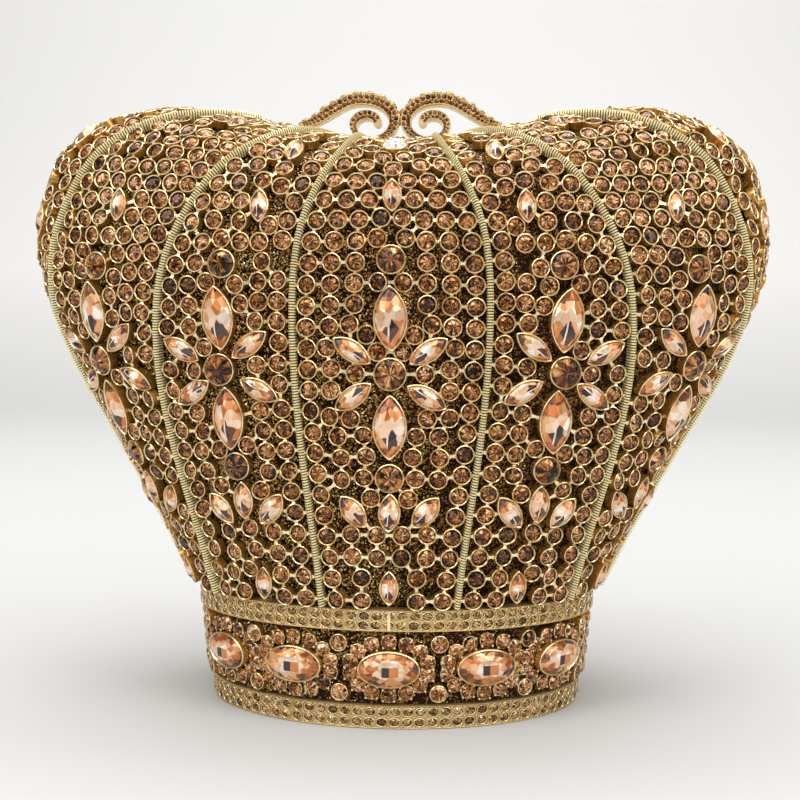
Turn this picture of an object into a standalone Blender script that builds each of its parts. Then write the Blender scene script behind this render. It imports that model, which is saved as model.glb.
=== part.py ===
# Crown-shaped evening clutch set with crystals, modelled closed, in metres with +Z up.
# X runs across the front, the front half lies at -Y, and the origin is on the table
# below the middle of the seam. Both halves are the same pieces, mirrored at the seam.
import math

import bpy
from mathutils import Matrix, Vector

# Fits between pieces
JOINT_GAP = 0.0003
SEAM_HALF_GAP = JOINT_GAP / 2
CUT_OVERRUN = 0.0010

# Base bands, from the table up
LOWER_BAND_HALF_WIDTH = 0.0472
LOWER_BAND_HALF_DEPTH = 0.0350
LOWER_BAND_HEIGHT = 0.0056
LOWER_BAND_WALL = 0.0028
BASE_BAND_HEIGHT = 0.0172
BASE_BAND_WALL = 0.0016
UPPER_BAND_HEIGHT = 0.0051
UPPER_BAND_WALL = 0.0036
BAND_EDGE_HEIGHT = 0.0007
BAND_ROW_RECESS = 0.0004
BAND_STEPS = 18
BASE_FLARE_WIDTH = 0.0034
BASE_FLARE_DEPTH = 0.0015

UPPER_BAND_HALF_WIDTH = LOWER_BAND_HALF_WIDTH + BASE_FLARE_WIDTH
UPPER_BAND_HALF_DEPTH = LOWER_BAND_HALF_DEPTH + BASE_FLARE_DEPTH
BASE_BAND_BOTTOM = LOWER_BAND_HEIGHT + JOINT_GAP
BASE_BAND_TOP = BASE_BAND_BOTTOM + BASE_BAND_HEIGHT
UPPER_BAND_BOTTOM = BASE_BAND_TOP + JOINT_GAP
UPPER_BAND_TOP = UPPER_BAND_BOTTOM + UPPER_BAND_HEIGHT
FOOT = UPPER_BAND_TOP + JOINT_GAP

# Crown: its outline in the seam plane and its profile on the middle line
FOOT_OVERHANG = 0.0012
BELLY_HALF_WIDTH = 0.0920
BELLY_HALF_DEPTH = 0.0390
CROWN_HEIGHT = 0.1196
DIP_DEPTH = 0.0084
CAGE_WALL = 0.0016
LINER_WALL = 0.0010
LINER_DRAFT = 0.0003
RIM_DEPTH = 0.0030
RIM_PROUD = 0.0004
CROWN_COLUMNS = 18
CROWN_ROWS = 12
LINER_ROWS = (2, 4, 6, 8, 10, 11, 12)
ROW_SPREAD_POWER = 0.78

LOBE_TOP = FOOT + CROWN_HEIGHT
DIP_TOP = LOBE_TOP - DIP_DEPTH
HALF_START = RIM_DEPTH + JOINT_GAP
LINER_INSET = CAGE_WALL + JOINT_GAP
RIM_INSET = LINER_INSET + LINER_WALL

# Shares at evenly numbered stations from the foot of the crown to its ridge: how much of the
# foot and of the belly the outline has there, and how much of the height it has climbed.
# The ridge runs from lobe to lobe, so the outline's last station is on the lobe's shoulder.
OUTLINE_FOOT_SHARES = (1, 0.80, 0.51, 0.235, 0.04, 0, 0, 0, 0, 0)
OUTLINE_BELLY_SHARES = (0, 0.20, 0.49, 0.765, 0.96, 1, 0.945, 0.818, 0.65, 0.455)
OUTLINE_RISE_SHARES = (0, 0.132, 0.31, 0.475, 0.624, 0.756, 0.893, 0.972, 1, 0.99)
PROFILE_FOOT_SHARES = (1, 0.7, 0.3, 0, 0, 0, 0, 0, 0, 0)
PROFILE_BELLY_SHARES = (0, 0.3, 0.7, 1, 0.99, 0.94, 0.82, 0.62, 0.36, 0)
PROFILE_RISE_SHARES = (0, 0.157, 0.354, 0.551, 0.712, 0.826, 0.915, 0.968, 0.994, 1)
LOBE_SPREAD_POWER = 3.4

# Ribs: bearing of each pair from the middle line in degrees, at even steps up the crown
RIB_BEARINGS = ((17.6, 16.6, 13.3, 8.6, 10.0), (55.5, 46.0, 34.3, 23.8, 19.5), (87.0, 84.5, 66.5, 53.0, 45.0))
GORE_MIDDLE_SHARE = 0.47
RIB_WIDTH = 0.0017
RIB_HEIGHT = 0.0012
RIB_STEPS = 12
RIB_TAPER_SHARE = 0.8
RIB_TOP_SHARE = 0.965

# Raised settings of the motif, as length, width and height over the cage
BIG_NAVETTE = (0.0150, 0.0079, 0.0016)
LONG_NAVETTE = (0.0104, 0.0048, 0.0013)
SMALL_NAVETTE = (0.0082, 0.0045, 0.0013)
FLOWER_ROUND = (0.0076, 0.0076, 0.0015)
SMALL_ROUND = (0.0067, 0.0067, 0.0013)
SETTING_FOOT_DEPTH = 0.0009
TABLE_SHARE = 0.55
PETAL_RADIUS = 0.0100
PETAL_BEARINGS = (33, 147, 210, 330)
FAN_REACHES = (0.0083, 0.0066, 0.0064)
FAN_TILT = 38
GORE_COUNT = 5

# How far up the crown the motif's settings sit, in the middle gore, the next one and the outer
# one. Gores 3 and -3, beside the seam, have only two navettes
CREST_SHARES = (0.765, 0.716, 0.835)
TOP_NAVETTE_SHARES = (0.584, 0.564, 0.575)
TOP_ROUND_SHARES = (0.452, 0.455, 0.470)
UPPER_NAVETTE_SHARES = (0.366, 0.375, 0.400)
FLOWER_SHARES = (0.297, 0.308, 0.330)
LOWER_NAVETTE_SHARES = (0.237, 0.249, 0.266)
LOW_ROUND_SHARES = (0.179, 0.192, 0.205)
FAN_SHARES = (0.140, 0.142, 0.150)
FAN_CENTRE_SHARES = (0.139, 0.152, 0.163)
FOOT_NAVETTE_SHARES = (0.033, 0.032, 0.033)
SEAM_NAVETTE_SHARES = (0.56, 0.72)

# In the gores next to the middle one, how far settings stand outward of the gore's own middle
TOP_NAVETTE_SIDESTEP = -0.0027
TOP_ROUND_SIDESTEP = 0.0014
FLOWER_SIDESTEP = 0.0010
FOOT_NAVETTE_SIDESTEP = -0.0013

# Oval crystals round the base band
OVAL_LENGTH = 0.0132
OVAL_HEIGHT = 0.0078
OVAL_STAND = 0.0011
OVAL_CROWN = 0.0012
OVAL_TABLE_SHARE = 0.5
OVAL_SIDES = 12
OVAL_BEARINGS = (-56, -28, 0, 28, 56)
BEZEL_WALL = 0.0006
BEZEL_HEIGHT = 0.0024
BEZEL_FOOT_DEPTH = 0.0012

# Floor and hinge, which lies in the seam under the floor
PLATE_LIFT = 0.0005
PLATE_THICKNESS = 0.0011
KNUCKLE_RADIUS = 0.0016
PIN_RADIUS = 0.0007
LEAF_THICKNESS = 0.0007
LEAF_REACH = 0.0100
HINGE_END_CLEARANCE = 0.0006
HINGE_RELIEF = 0.0008
KNUCKLE_COUNT = 5
ROUND_SIDES = 12

HINGE_AXIS_HEIGHT = PLATE_LIFT + PLATE_THICKNESS + JOINT_GAP
LINER_FLOOR = HINGE_AXIS_HEIGHT + LEAF_THICKNESS + JOINT_GAP
RELIEF_RADIUS = KNUCKLE_RADIUS + HINGE_RELIEF

# Kiss-lock scrolls on the ridge
SCROLL_DEPTH = 0.0050
SCROLL_THICKNESS = 0.0030
SCROLL_TOP_RADIUS = 0.0064
SCROLL_STRETCH = 1.28
SCROLL_TIP_BEARING = 20
SCROLL_TURN = 430
SCROLL_FOOT_REACH = 0.0255
SCROLL_TAIL_PULL_SHARE = 0.45
SCROLL_TURN_STEPS = 20
SCROLL_TAIL_STEPS = 5
# Radius of the curl and thickness of the strip, at even steps of the turn from its tip
SCROLL_RADIUS_SHARES = (0.26, 0.40, 0.49, 0.53, 0.62, 0.80, 1.0)
SCROLL_WIDTH_SHARES = (0.72, 0.78, 0.76, 0.42, 0.52, 0.94, 1.0)

# Lugs for the hidden shoulder chain, inside the rear rim
LUG_RADIUS = 0.0030
LUG_HOLE_RADIUS = 0.0016
LUG_THICKNESS = 0.0014
LUG_NECK = 0.0012
LUG_ROW = 8


def material(name, colour, roughness, metallic):
    """A plain finish: colour, roughness and metallic value."""
    made = bpy.data.materials.new(name)
    made.use_nodes = True
    shader = made.node_tree.nodes["Principled BSDF"]
    shader.inputs["Base Color"].default_value = (*colour, 1)
    shader.inputs["Roughness"].default_value = roughness
    shader.inputs["Metallic"].default_value = metallic
    return made


def add_object(name, verts, faces, finish):
    """One piece from its corners and faces, in world coordinates."""
    mesh = bpy.data.meshes.new(name)
    mesh.from_pydata([tuple(v) for v in verts], [], faces)
    mesh.materials.append(finish)
    mesh.shade_smooth()
    mesh.set_sharp_from_angle(angle=math.radians(35))
    made = bpy.data.objects.new(name, mesh)
    bpy.context.scene.collection.objects.link(made)
    return made


def add_mirrored(source, name, axis):
    """The same piece mirrored at the seam (axis 1) or at the middle line (axis 0)."""
    signs = [-1 if i == axis else 1 for i in range(3)]
    verts = [[c * s for c, s in zip(v.co, signs)] for v in source.data.vertices]
    faces = [list(reversed(p.vertices)) for p in source.data.polygons]
    return add_object(name, verts, faces, source.data.materials[0])


def cut(target, tool, operation="DIFFERENCE", crossing=False):
    """Joins a tool to the target, or cuts it away, and drops the tool. The shapes of a crossing
    tool may run into one another."""
    modifier = target.modifiers.new(operation.lower(), "BOOLEAN")
    modifier.operation = operation
    modifier.object = tool
    modifier.solver = "EXACT"
    modifier.use_self = crossing
    depsgraph = bpy.context.evaluated_depsgraph_get()
    merged = bpy.data.meshes.new_from_object(target.evaluated_get(depsgraph))
    target.modifiers.remove(modifier)
    target.data = merged
    bpy.data.objects.remove(tool)
    merged.shade_smooth()
    merged.set_sharp_from_angle(angle=math.radians(35))


def smooth_between(values, share):
    """The value at a share of the way along evenly numbered stations, smoothly joined."""
    last = len(values) - 1
    place = min(max(share, 0), 1) * last
    i = min(int(place), last - 1)
    f = place - i
    a, b = values[i], values[i + 1]
    before = values[i - 1] if i > 0 else 2 * a - b
    after = values[i + 2] if i + 2 <= last else 2 * b - a
    bend = 2 * before - 5 * a + 4 * b - after
    return a + f * (b - before + f * (bend + f * (3 * (a - b) + after - before))) / 2


# Crown surface

def outline_at(share):
    """Reach from the middle and height of the crown's outline in the seam plane."""
    foot_reach = UPPER_BAND_HALF_WIDTH + FOOT_OVERHANG
    reach = smooth_between(OUTLINE_FOOT_SHARES, share) * foot_reach
    reach += smooth_between(OUTLINE_BELLY_SHARES, share) * BELLY_HALF_WIDTH
    return Vector((reach, FOOT + smooth_between(OUTLINE_RISE_SHARES, share) * CROWN_HEIGHT))


def profile_at(share):
    """Bulge in front of the half's back plane, and height, on the middle line."""
    bulge = smooth_between(PROFILE_FOOT_SHARES, share) * (UPPER_BAND_HALF_DEPTH - HALF_START)
    bulge += smooth_between(PROFILE_BELLY_SHARES, share) * (BELLY_HALF_DEPTH - HALF_START)
    rise = smooth_between(PROFILE_RISE_SHARES, share) * (DIP_TOP - FOOT)
    return Vector((max(bulge, 0), FOOT + rise))


def inset_curve(curve, share, inset, ends_upright):
    """A point of the curve moved inward by the inset, square to the curve. At the foot it moves
    level, so the foot stays flat, and a profile moves straight down at its end on the ridge."""
    step = 0.01
    run = curve(min(share + step, 1)) - curve(max(share - step, 0))
    outward = Vector((run.y, -run.x)).normalized()
    if share <= 0:
        outward = Vector((1 / outward.x, 0))
    elif share >= 1 and ends_upright:
        outward = Vector((0, 1))
    return curve(share) - outward * inset


def crown_section(share, inset):
    """Reach, its height, bulge, its height: the crown's section at a share of the way up."""
    reach, side_height = inset_curve(outline_at, share, inset, False)
    bulge, middle_height = inset_curve(profile_at, share, inset, True)
    return reach, side_height, max(bulge, 0), middle_height


def crown_point(bearing, share, inset=0.0):
    """A point of the front half's crown at a bearing from the middle line, in radians."""
    reach, side_height, bulge, middle_height = crown_section(share, inset)
    ahead = max(math.cos(bearing), 0)
    lift = (middle_height - side_height) * ahead ** LOBE_SPREAD_POWER
    return Vector((reach * math.sin(bearing), -HALF_START - bulge * ahead, side_height + lift))


def crown_frame(bearing, share):
    """Where a point of the crown is, and the directions across, up and out of it there."""
    step = 0.004
    here = crown_point(bearing, share)
    across = crown_point(bearing + step, share) - crown_point(bearing - step, share)
    up = crown_point(bearing, min(share + step, 1)) - crown_point(bearing, max(share - step, 0))
    out = across.cross(up).normalized()
    across.normalize()
    return here, across, out.cross(across), out


def crown_step(bearing, share, across, up):
    """The bearing and share a small distance across and up from a point of the crown."""
    step = 0.01
    here = crown_point(bearing, share)
    per_bearing = (crown_point(bearing + step, share) - here).length / step
    per_share = (crown_point(bearing, share + step) - here).length / step
    return bearing + across / per_bearing, share + up / per_share


def rib_bearing(pair, share):
    """Bearing of a rib, in radians: pair 0 is the middle of the front, pair 1 to 3 the ribs
    and one more the seam."""
    if pair == 0:
        return 0.0
    if abs(pair) > len(RIB_BEARINGS):
        return math.copysign(math.pi / 2, pair)
    return math.copysign(math.radians(smooth_between(RIB_BEARINGS[abs(pair) - 1], share)), pair)


def gore_bearing(gore, share):
    """Bearing of the middle of a gore, which is the space between two ribs."""
    if gore == 0:
        return 0.0
    inner, outer = rib_bearing(abs(gore), share), rib_bearing(abs(gore) + 1, share)
    return math.copysign(inner + (outer - inner) * GORE_MIDDLE_SHARE, gore)


def shell_mesh(outer, inner, floored):
    """A thin open shell from two grids of points, row by row from the foot to the ridge. Its
    edges at the seam and at the foot are closed by strips, or its foot by a floor."""
    rows, columns = len(outer), len(outer[0])
    verts = [p for grid in (outer, inner) for row in grid for p in row]
    shift = rows * columns
    faces = []
    for r in range(rows - 1):
        for c in range(columns - 1):
            a = r * columns + c
            quad = (a, a + 1, a + 1 + columns, a + columns)
            faces.append(quad)
            faces.append(tuple(v + shift for v in reversed(quad)))
    foot = list(range(columns))
    ridge = [(rows - 1) * columns + c for c in range(columns)]
    left = [r * columns for r in range(rows)]
    right = [r * columns + columns - 1 for r in range(rows)]
    edge = right + ridge[-2::-1] + left[-2::-1]
    if floored:
        faces.append(tuple(reversed(foot)))
        faces.append(tuple(v + shift for v in foot))
        edge = edge + [edge[0]]
    else:
        edge = edge + foot[1:]
    for a, b in zip(edge, edge[1:]):
        faces.append((b, a, a + shift, b + shift))
    return verts, faces


def row_share(row):
    """How far up the crown a row of its mesh lies: the rows are closer over the lobes."""
    return (row / CROWN_ROWS) ** ROW_SPREAD_POWER


def crown_bearings():
    return [math.pi * (c / CROWN_COLUMNS - 0.5) for c in range(CROWN_COLUMNS + 1)]


def crown_grid(inset):
    """The crown's points at an inset. Cage, liner, rim and ribs share its rows."""
    return [[crown_point(b, row_share(r), inset) for b in crown_bearings()] for r in range(CROWN_ROWS + 1)]


# Base

def well_half_width(height):
    """Half width of the well inside the bands, which all bands share."""
    low = LOWER_BAND_HALF_WIDTH - LOWER_BAND_WALL
    high = UPPER_BAND_HALF_WIDTH - UPPER_BAND_WALL
    return low + (high - low) * height / UPPER_BAND_TOP


def well_half_depth(height):
    low = LOWER_BAND_HALF_DEPTH - LOWER_BAND_WALL
    high = UPPER_BAND_HALF_DEPTH - UPPER_BAND_WALL
    return low + (high - low) * height / UPPER_BAND_TOP


def hinge_half_length():
    """The hinge fills the well as far as the leaves' outer corners clear the lower band."""
    ahead = (LEAF_REACH - HALF_START) / (well_half_depth(0) - HALF_START)
    return well_half_width(0) * math.sqrt(1 - ahead ** 2) - HINGE_END_CLEARANCE


def base_point(bearing, half_width, half_depth, height):
    """A point of the front half's plan: a straight run at the seam, then a half ellipse."""
    ahead = max(math.cos(bearing), 0) * (half_depth - HALF_START)
    return Vector((half_width * math.sin(bearing), -HALF_START - ahead, height))


def base_row(half_width, half_depth, height, steps):
    """The plan's points from the left seam edge to the right one, straight runs included."""
    arc = [base_point(math.pi * (i / steps - 0.5), half_width, half_depth, height) for i in range(steps + 1)]
    ends = [Vector((x, -SEAM_HALF_GAP, height)) for x in (-half_width, half_width)]
    return [ends[0]] + arc + [ends[1]]


def band_mesh(section):
    """A half ring from its section, a loop of (half width, half depth, height)."""
    rows = [base_row(*corner, BAND_STEPS) for corner in section]
    count, length = len(rows), len(rows[0])
    verts = [p for row in rows for p in row]
    faces = [tuple(i * length for i in range(count)),
             tuple(i * length + length - 1 for i in reversed(range(count)))]
    for i in range(count):
        a, b = i * length, (i + 1) % count * length
        faces += [(a + c, a + c + 1, b + c + 1, b + c) for c in range(length - 1)]
    return verts, faces


def row_band(name, half_width, half_depth, bottom, height, finish):
    """A band with a plain edge above and below the set-back ground of its stones."""
    top = bottom + height
    outer = [(0, bottom), (0, bottom + BAND_EDGE_HEIGHT), (BAND_ROW_RECESS, bottom + BAND_EDGE_HEIGHT),
             (BAND_ROW_RECESS, top - BAND_EDGE_HEIGHT), (0, top - BAND_EDGE_HEIGHT), (0, top)]
    section = [(half_width - back, half_depth - back, height_at) for back, height_at in outer]
    section += [(well_half_width(z), well_half_depth(z), z) for z in (top, bottom)]
    return add_object(name, *band_mesh(section), finish)


def base_band_half_width(height):
    return well_half_width(height) + BASE_BAND_WALL


def base_band_half_depth(height):
    return well_half_depth(height) + BASE_BAND_WALL


def oval_place(bearing):
    """Matrix of an oval's setting: X along the band, Y up it, Z out of it."""
    height = (BASE_BAND_BOTTOM + BASE_BAND_TOP) / 2
    step = 0.01

    def wall(angle, z):
        return base_point(angle, base_band_half_width(z), base_band_half_depth(z), z)

    here = wall(bearing, height)
    along = (wall(bearing + step, height) - wall(bearing - step, height)).normalized()
    up = (wall(bearing, BASE_BAND_TOP) - wall(bearing, BASE_BAND_BOTTOM)).normalized()
    out = along.cross(up).normalized()
    return Matrix.Translation(here) @ Matrix((along, out.cross(along), out)).transposed().to_4x4()


def stacked_ovals(rings, sides):
    """A closed body through ellipses, each (half length, half height, level), bottom first."""
    verts = []
    for half_length, half_height, level in rings:
        for i in range(sides):
            turn = 2 * math.pi * (i + 0.5) / sides
            verts.append(Vector((half_length * math.cos(turn), half_height * math.sin(turn), level)))
    faces = [tuple(reversed(range(sides))), tuple(range(len(verts) - sides, len(verts)))]
    for r in range(len(rings) - 1):
        for i in range(sides):
            a, b = r * sides + i, r * sides + (i + 1) % sides
            faces.append((a, b, b + sides, a + sides))
    return verts, faces


def base_band(name, gilt):
    """The set-back wall with five bezels, each sunk for its oval."""
    section = [(base_band_half_width(z), base_band_half_depth(z), z) for z in (BASE_BAND_BOTTOM, BASE_BAND_TOP)]
    section += [(well_half_width(z), well_half_depth(z), z) for z in (BASE_BAND_TOP, BASE_BAND_BOTTOM)]
    band = add_object(name, *band_mesh(section), gilt)
    seat = (OVAL_LENGTH / 2 + JOINT_GAP, OVAL_HEIGHT / 2 + JOINT_GAP)
    outer = tuple(half + BEZEL_WALL for half in seat)
    cup_rings = [(*outer, -BEZEL_FOOT_DEPTH), (*outer, BEZEL_HEIGHT)]
    seat_rings = [(*seat, BEZEL_HEIGHT - OVAL_STAND), (*seat, BEZEL_HEIGHT + CUT_OVERRUN)]
    for rings, operation in ((cup_rings, "UNION"), (seat_rings, "DIFFERENCE")):
        for bearing in OVAL_BEARINGS:
            verts, faces = stacked_ovals(rings, OVAL_SIDES)
            place = oval_place(math.radians(bearing))
            tool = add_object("tool", [place @ v for v in verts], faces, gilt)
            cut(band, tool, operation)
    return band


def oval_crystal(name, bearing, crystal):
    """A faceted oval: a straight girdle in its seat, a crown and a flat table."""
    half_length, half_height = OVAL_LENGTH / 2, OVAL_HEIGHT / 2
    bottom = BEZEL_HEIGHT - OVAL_STAND + JOINT_GAP
    rings = [(half_length, half_height, bottom), (half_length, half_height, BEZEL_HEIGHT)]
    table = (half_length * OVAL_TABLE_SHARE, half_height * OVAL_TABLE_SHARE, BEZEL_HEIGHT + OVAL_CROWN)
    verts, faces = stacked_ovals(rings + [table], OVAL_SIDES)
    place = oval_place(math.radians(bearing))
    return add_object(name, [place @ v for v in verts], faces, crystal)


def bottom_plate(name, gilt):
    """The floor under a half, inside the lower band, stopping short of the hinge."""
    half_width = well_half_width(0) - JOINT_GAP
    half_depth = well_half_depth(0) - JOINT_GAP
    verts = []
    for height in (PLATE_LIFT, PLATE_LIFT + PLATE_THICKNESS):
        arc = base_row(half_width, half_depth, height, BAND_STEPS)[1:-1]
        ends = [Vector((x, -RELIEF_RADIUS, height)) for x in (-half_width, half_width)]
        verts += [ends[0]] + arc + [ends[1]]
    count = len(verts) // 2
    faces = [tuple(reversed(range(count))), tuple(range(count, 2 * count))]
    faces += [(i, (i + 1) % count, (i + 1) % count + count, i + count) for i in range(count)]
    return add_object(name, verts, faces, gilt)


def relieve_at_hinge(band, gilt):
    """Cuts the lower band's ends back round the hinge, so that the halves can tip."""
    length = 2 * (LOWER_BAND_HALF_WIDTH + CUT_OVERRUN)
    cut(band, round_bar(-length / 2, length / 2, RELIEF_RADIUS, gilt, half=True))


def round_bar(start, end, radius, finish, half=False):
    """A bar along the hinge axis, or its lower half."""
    turns = [math.pi * (1 + i / ROUND_SIDES) for i in range(ROUND_SIDES + 1)] if half else \
        [2 * math.pi * i / ROUND_SIDES for i in range(ROUND_SIDES)]
    ring = [(radius * math.cos(t), HINGE_AXIS_HEIGHT + radius * math.sin(t)) for t in turns]
    verts = [Vector((x, y, z)) for x in (start, end) for y, z in ring]
    count = len(ring)
    faces = [tuple(reversed(range(count))), tuple(range(count, 2 * count))]
    faces += [(i, (i + 1) % count, (i + 1) % count + count, i + count) for i in range(count)]
    return add_object("tool", verts, faces, finish)


def box(corner_a, corner_b, finish):
    """A block between two corners."""
    low = [min(a, b) for a, b in zip(corner_a, corner_b)]
    high = [max(a, b) for a, b in zip(corner_a, corner_b)]
    verts = [(x, y, z) for x in (low[0], high[0]) for y in (low[1], high[1]) for z in (low[2], high[2])]
    faces = [(0, 1, 3, 2), (4, 6, 7, 5), (0, 4, 5, 1), (2, 3, 7, 6), (0, 2, 6, 4), (1, 5, 7, 3)]
    return add_object("tool", verts, faces, finish)


def hinge_leaf(name, side, gilt):
    """A leaf on its bottom plate. The rear leaf (side 1) has the odd knuckles, the front one
    (side -1) the even ones, and both are bored for the pin."""
    half_length = hinge_half_length()
    pitch = 2 * half_length / KNUCKLE_COUNT
    top = HINGE_AXIS_HEIGHT + LEAF_THICKNESS
    clear = KNUCKLE_RADIUS + JOINT_GAP
    leaf = box((-half_length, side * clear, HINGE_AXIS_HEIGHT), (half_length, side * LEAF_REACH, top), gilt)
    leaf.name = name
    leaf.data.name = name
    for k in range(0 if side > 0 else 1, KNUCKLE_COUNT, 2):
        start = -half_length + k * pitch + SEAM_HALF_GAP
        end = start + pitch - JOINT_GAP
        cut(leaf, round_bar(start, end, KNUCKLE_RADIUS, gilt), "UNION")
        tab = box((start, side * PIN_RADIUS, HINGE_AXIS_HEIGHT), (end, side * (clear + CUT_OVERRUN), top), gilt)
        cut(leaf, tab, "UNION")
    reach = half_length + CUT_OVERRUN
    cut(leaf, round_bar(-reach, reach, PIN_RADIUS + JOINT_GAP, gilt))
    return leaf


# Crown pieces

def setting_mesh(kind, bearing, share, tilt):
    """A raised setting with a flat table on the crown, as corners and faces. Pointed ones have
    six corners, round ones eight, and the tilt turns a setting from lying across."""
    length, width, height = kind
    here, across, up, out = crown_frame(bearing, share)
    pointed = length > width
    sides = 6 if pointed else 8
    verts = []
    for level, scale in ((-SETTING_FOOT_DEPTH, 1), (height, TABLE_SHARE)):
        for i in range(sides):
            turn = 2 * math.pi * i / sides
            x, y = length / 2 * math.cos(turn), width / 2 * math.sin(turn)
            if pointed and i % 3:
                y = math.copysign(width / 2, y)
            along = x * math.cos(tilt) - y * math.sin(tilt)
            aside = x * math.sin(tilt) + y * math.cos(tilt)
            verts.append(here + across * along * scale + up * aside * scale + out * level)
    faces = [tuple(reversed(range(sides))), tuple(range(sides, 2 * sides))]
    for i in range(sides):
        j = (i + 1) % sides
        faces.append((i, j, j + sides, i + sides))
    return verts, faces


def motif_step(gore, share, across, up):
    """The bearing and share a small distance across and up from the middle of a gore."""
    return crown_step(gore_bearing(gore, share), share, across, up)


def motif(gore):
    """The settings of one gore: kind, bearing, share of the way up, tilt in degrees."""
    order = abs(gore)
    if order > GORE_COUNT // 2:
        return [(SMALL_NAVETTE, gore_bearing(gore, share), share, 90) for share in SEAM_NAVETTE_SHARES]
    upright = ((SMALL_NAVETTE if gore else SMALL_ROUND, CREST_SHARES, 0),
               (SMALL_NAVETTE, TOP_NAVETTE_SHARES, TOP_NAVETTE_SIDESTEP),
               (SMALL_ROUND, TOP_ROUND_SHARES, TOP_ROUND_SIDESTEP),
               (BIG_NAVETTE, UPPER_NAVETTE_SHARES, FLOWER_SIDESTEP),
               (FLOWER_ROUND, FLOWER_SHARES, FLOWER_SIDESTEP),
               (BIG_NAVETTE, LOWER_NAVETTE_SHARES, 0),
               (SMALL_ROUND, LOW_ROUND_SHARES, 0),
               (SMALL_NAVETTE, FOOT_NAVETTE_SHARES, FOOT_NAVETTE_SIDESTEP))
    places = []
    for kind, shares, sidestep in upright:
        aside = sidestep * gore if order == 1 else 0
        places.append((kind, *motif_step(gore, shares[order], aside, 0), 90))
    for turn in PETAL_BEARINGS:
        across = PETAL_RADIUS * math.cos(math.radians(turn))
        rise = PETAL_RADIUS * math.sin(math.radians(turn))
        if order == 1:
            across += FLOWER_SIDESTEP * gore
        places.append((LONG_NAVETTE, *motif_step(gore, FLOWER_SHARES[order], across, rise), turn))
    for side in (-1, 0, 1):
        shares = FAN_SHARES if side else FAN_CENTRE_SHARES
        step = motif_step(gore, shares[order], side * FAN_REACHES[order], 0)
        places.append((SMALL_NAVETTE, *step, 90 - side * FAN_TILT))
    return places


def cage(name, gilt):
    """The cast skin of the crown with its raised settings."""
    shell = add_object(name, *shell_mesh(crown_grid(0), crown_grid(CAGE_WALL), False), gilt)
    verts, faces = [], []
    outer_gore = GORE_COUNT // 2 + 1
    for gore in range(-outer_gore, outer_gore + 1):
        for kind, bearing, share, tilt in motif(gore):
            more_verts, more_faces = setting_mesh(kind, bearing, share, math.radians(tilt))
            faces += [tuple(v + len(verts) for v in face) for face in more_faces]
            verts += more_verts
    cut(shell, add_object("tool", verts, faces, gilt), "UNION", crossing=True)
    return shell


def liner(name, lining):
    """The closed inner shell: a drawn pocket with a floor, inside bands and cage."""
    grids = []
    for inset, floor in ((0, LINER_FLOOR), (LINER_WALL, LINER_FLOOR + LINER_WALL)):
        pocket = []
        for height in (floor, FOOT):
            margin = JOINT_GAP + inset + (LINER_DRAFT if height == floor else 0)
            well = min(height, UPPER_BAND_TOP)
            half_width, half_depth = well_half_width(well) - margin, well_half_depth(well) - margin
            pocket.append([base_point(b, half_width, half_depth, height) for b in crown_bearings()])
        rows = crown_grid(LINER_INSET + inset)
        grids.append(pocket + [rows[r] for r in LINER_ROWS])
    return add_object(name, *shell_mesh(*grids, True), lining)


def rim(name, gilt):
    """The seam frame: a strip along the crown's outline, from foot to foot over the ridge."""
    shares = [row_share(r) for r in range(CROWN_ROWS + 1)]
    loops = []
    for inset in (-RIM_PROUD, RIM_INSET):
        right = [crown_point(math.pi / 2, share, inset) for share in shares]
        ridge = [crown_point(bearing, 1, inset) for bearing in crown_bearings()[-2:0:-1]]
        left = [crown_point(-math.pi / 2, share, inset) for share in reversed(shares)]
        loops.append(right + ridge + left)
    verts = []
    for y in (-SEAM_HALF_GAP, -RIM_DEPTH):
        for loop in loops:
            verts += [Vector((p.x, y, p.z)) for p in loop]
    count = len(loops[0])
    back_outer, back_inner, front_outer, front_inner = (i * count for i in range(4))
    strips = ((back_outer, back_inner), (back_inner, front_inner), (front_inner, front_outer), (front_outer, back_outer))
    faces = [(b + i, b + i + 1, a + i + 1, a + i) for a, b in strips for i in range(count - 1)]
    faces.append((front_outer, front_inner, back_inner, back_outer))
    faces.append(tuple(start + count - 1 for start in (back_outer, back_inner, front_inner, front_outer)))
    return add_object(name, verts, faces, gilt)


def rib(name, pair, gilt):
    """A wire soldered along the cage, flat below and narrower at its top."""
    verts = []
    for i in range(RIB_STEPS + 1):
        share = RIB_TOP_SHARE * i / RIB_STEPS
        step = 0.01
        here, across, up, out = crown_frame(rib_bearing(pair, share), share)
        ahead = crown_point(rib_bearing(pair, share + step), share + step) - here
        side = ahead.cross(out).normalized()
        if i == 0:
            side, out = across, Vector((out.x, out.y, 0)).normalized()
        for aside, level in ((-1, 0), (1, 0), (RIB_TAPER_SHARE, 1), (-RIB_TAPER_SHARE, 1)):
            lift = JOINT_GAP + level * RIB_HEIGHT
            verts.append(here + side * (aside * RIB_WIDTH / 2) + out * lift)
    faces = [(0, 1, 2, 3), tuple(4 * RIB_STEPS + k for k in (3, 2, 1, 0))]
    for i in range(RIB_STEPS):
        for k in range(4):
            a, b = 4 * i + k, 4 * i + (k + 1) % 4
            faces.append((b, a, a + 4, b + 4))
    return add_object(name, verts, faces, gilt)


# Clasp and chain lugs

def ridge_height(x):
    """Top of the rim's ridge at a distance from the middle."""
    reach, side_height, _, middle_height = crown_section(1, -RIM_PROUD)
    ahead = math.sqrt(max(1 - (x / reach) ** 2, 0))
    return side_height + (middle_height - side_height) * ahead ** LOBE_SPREAD_POWER


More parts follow.
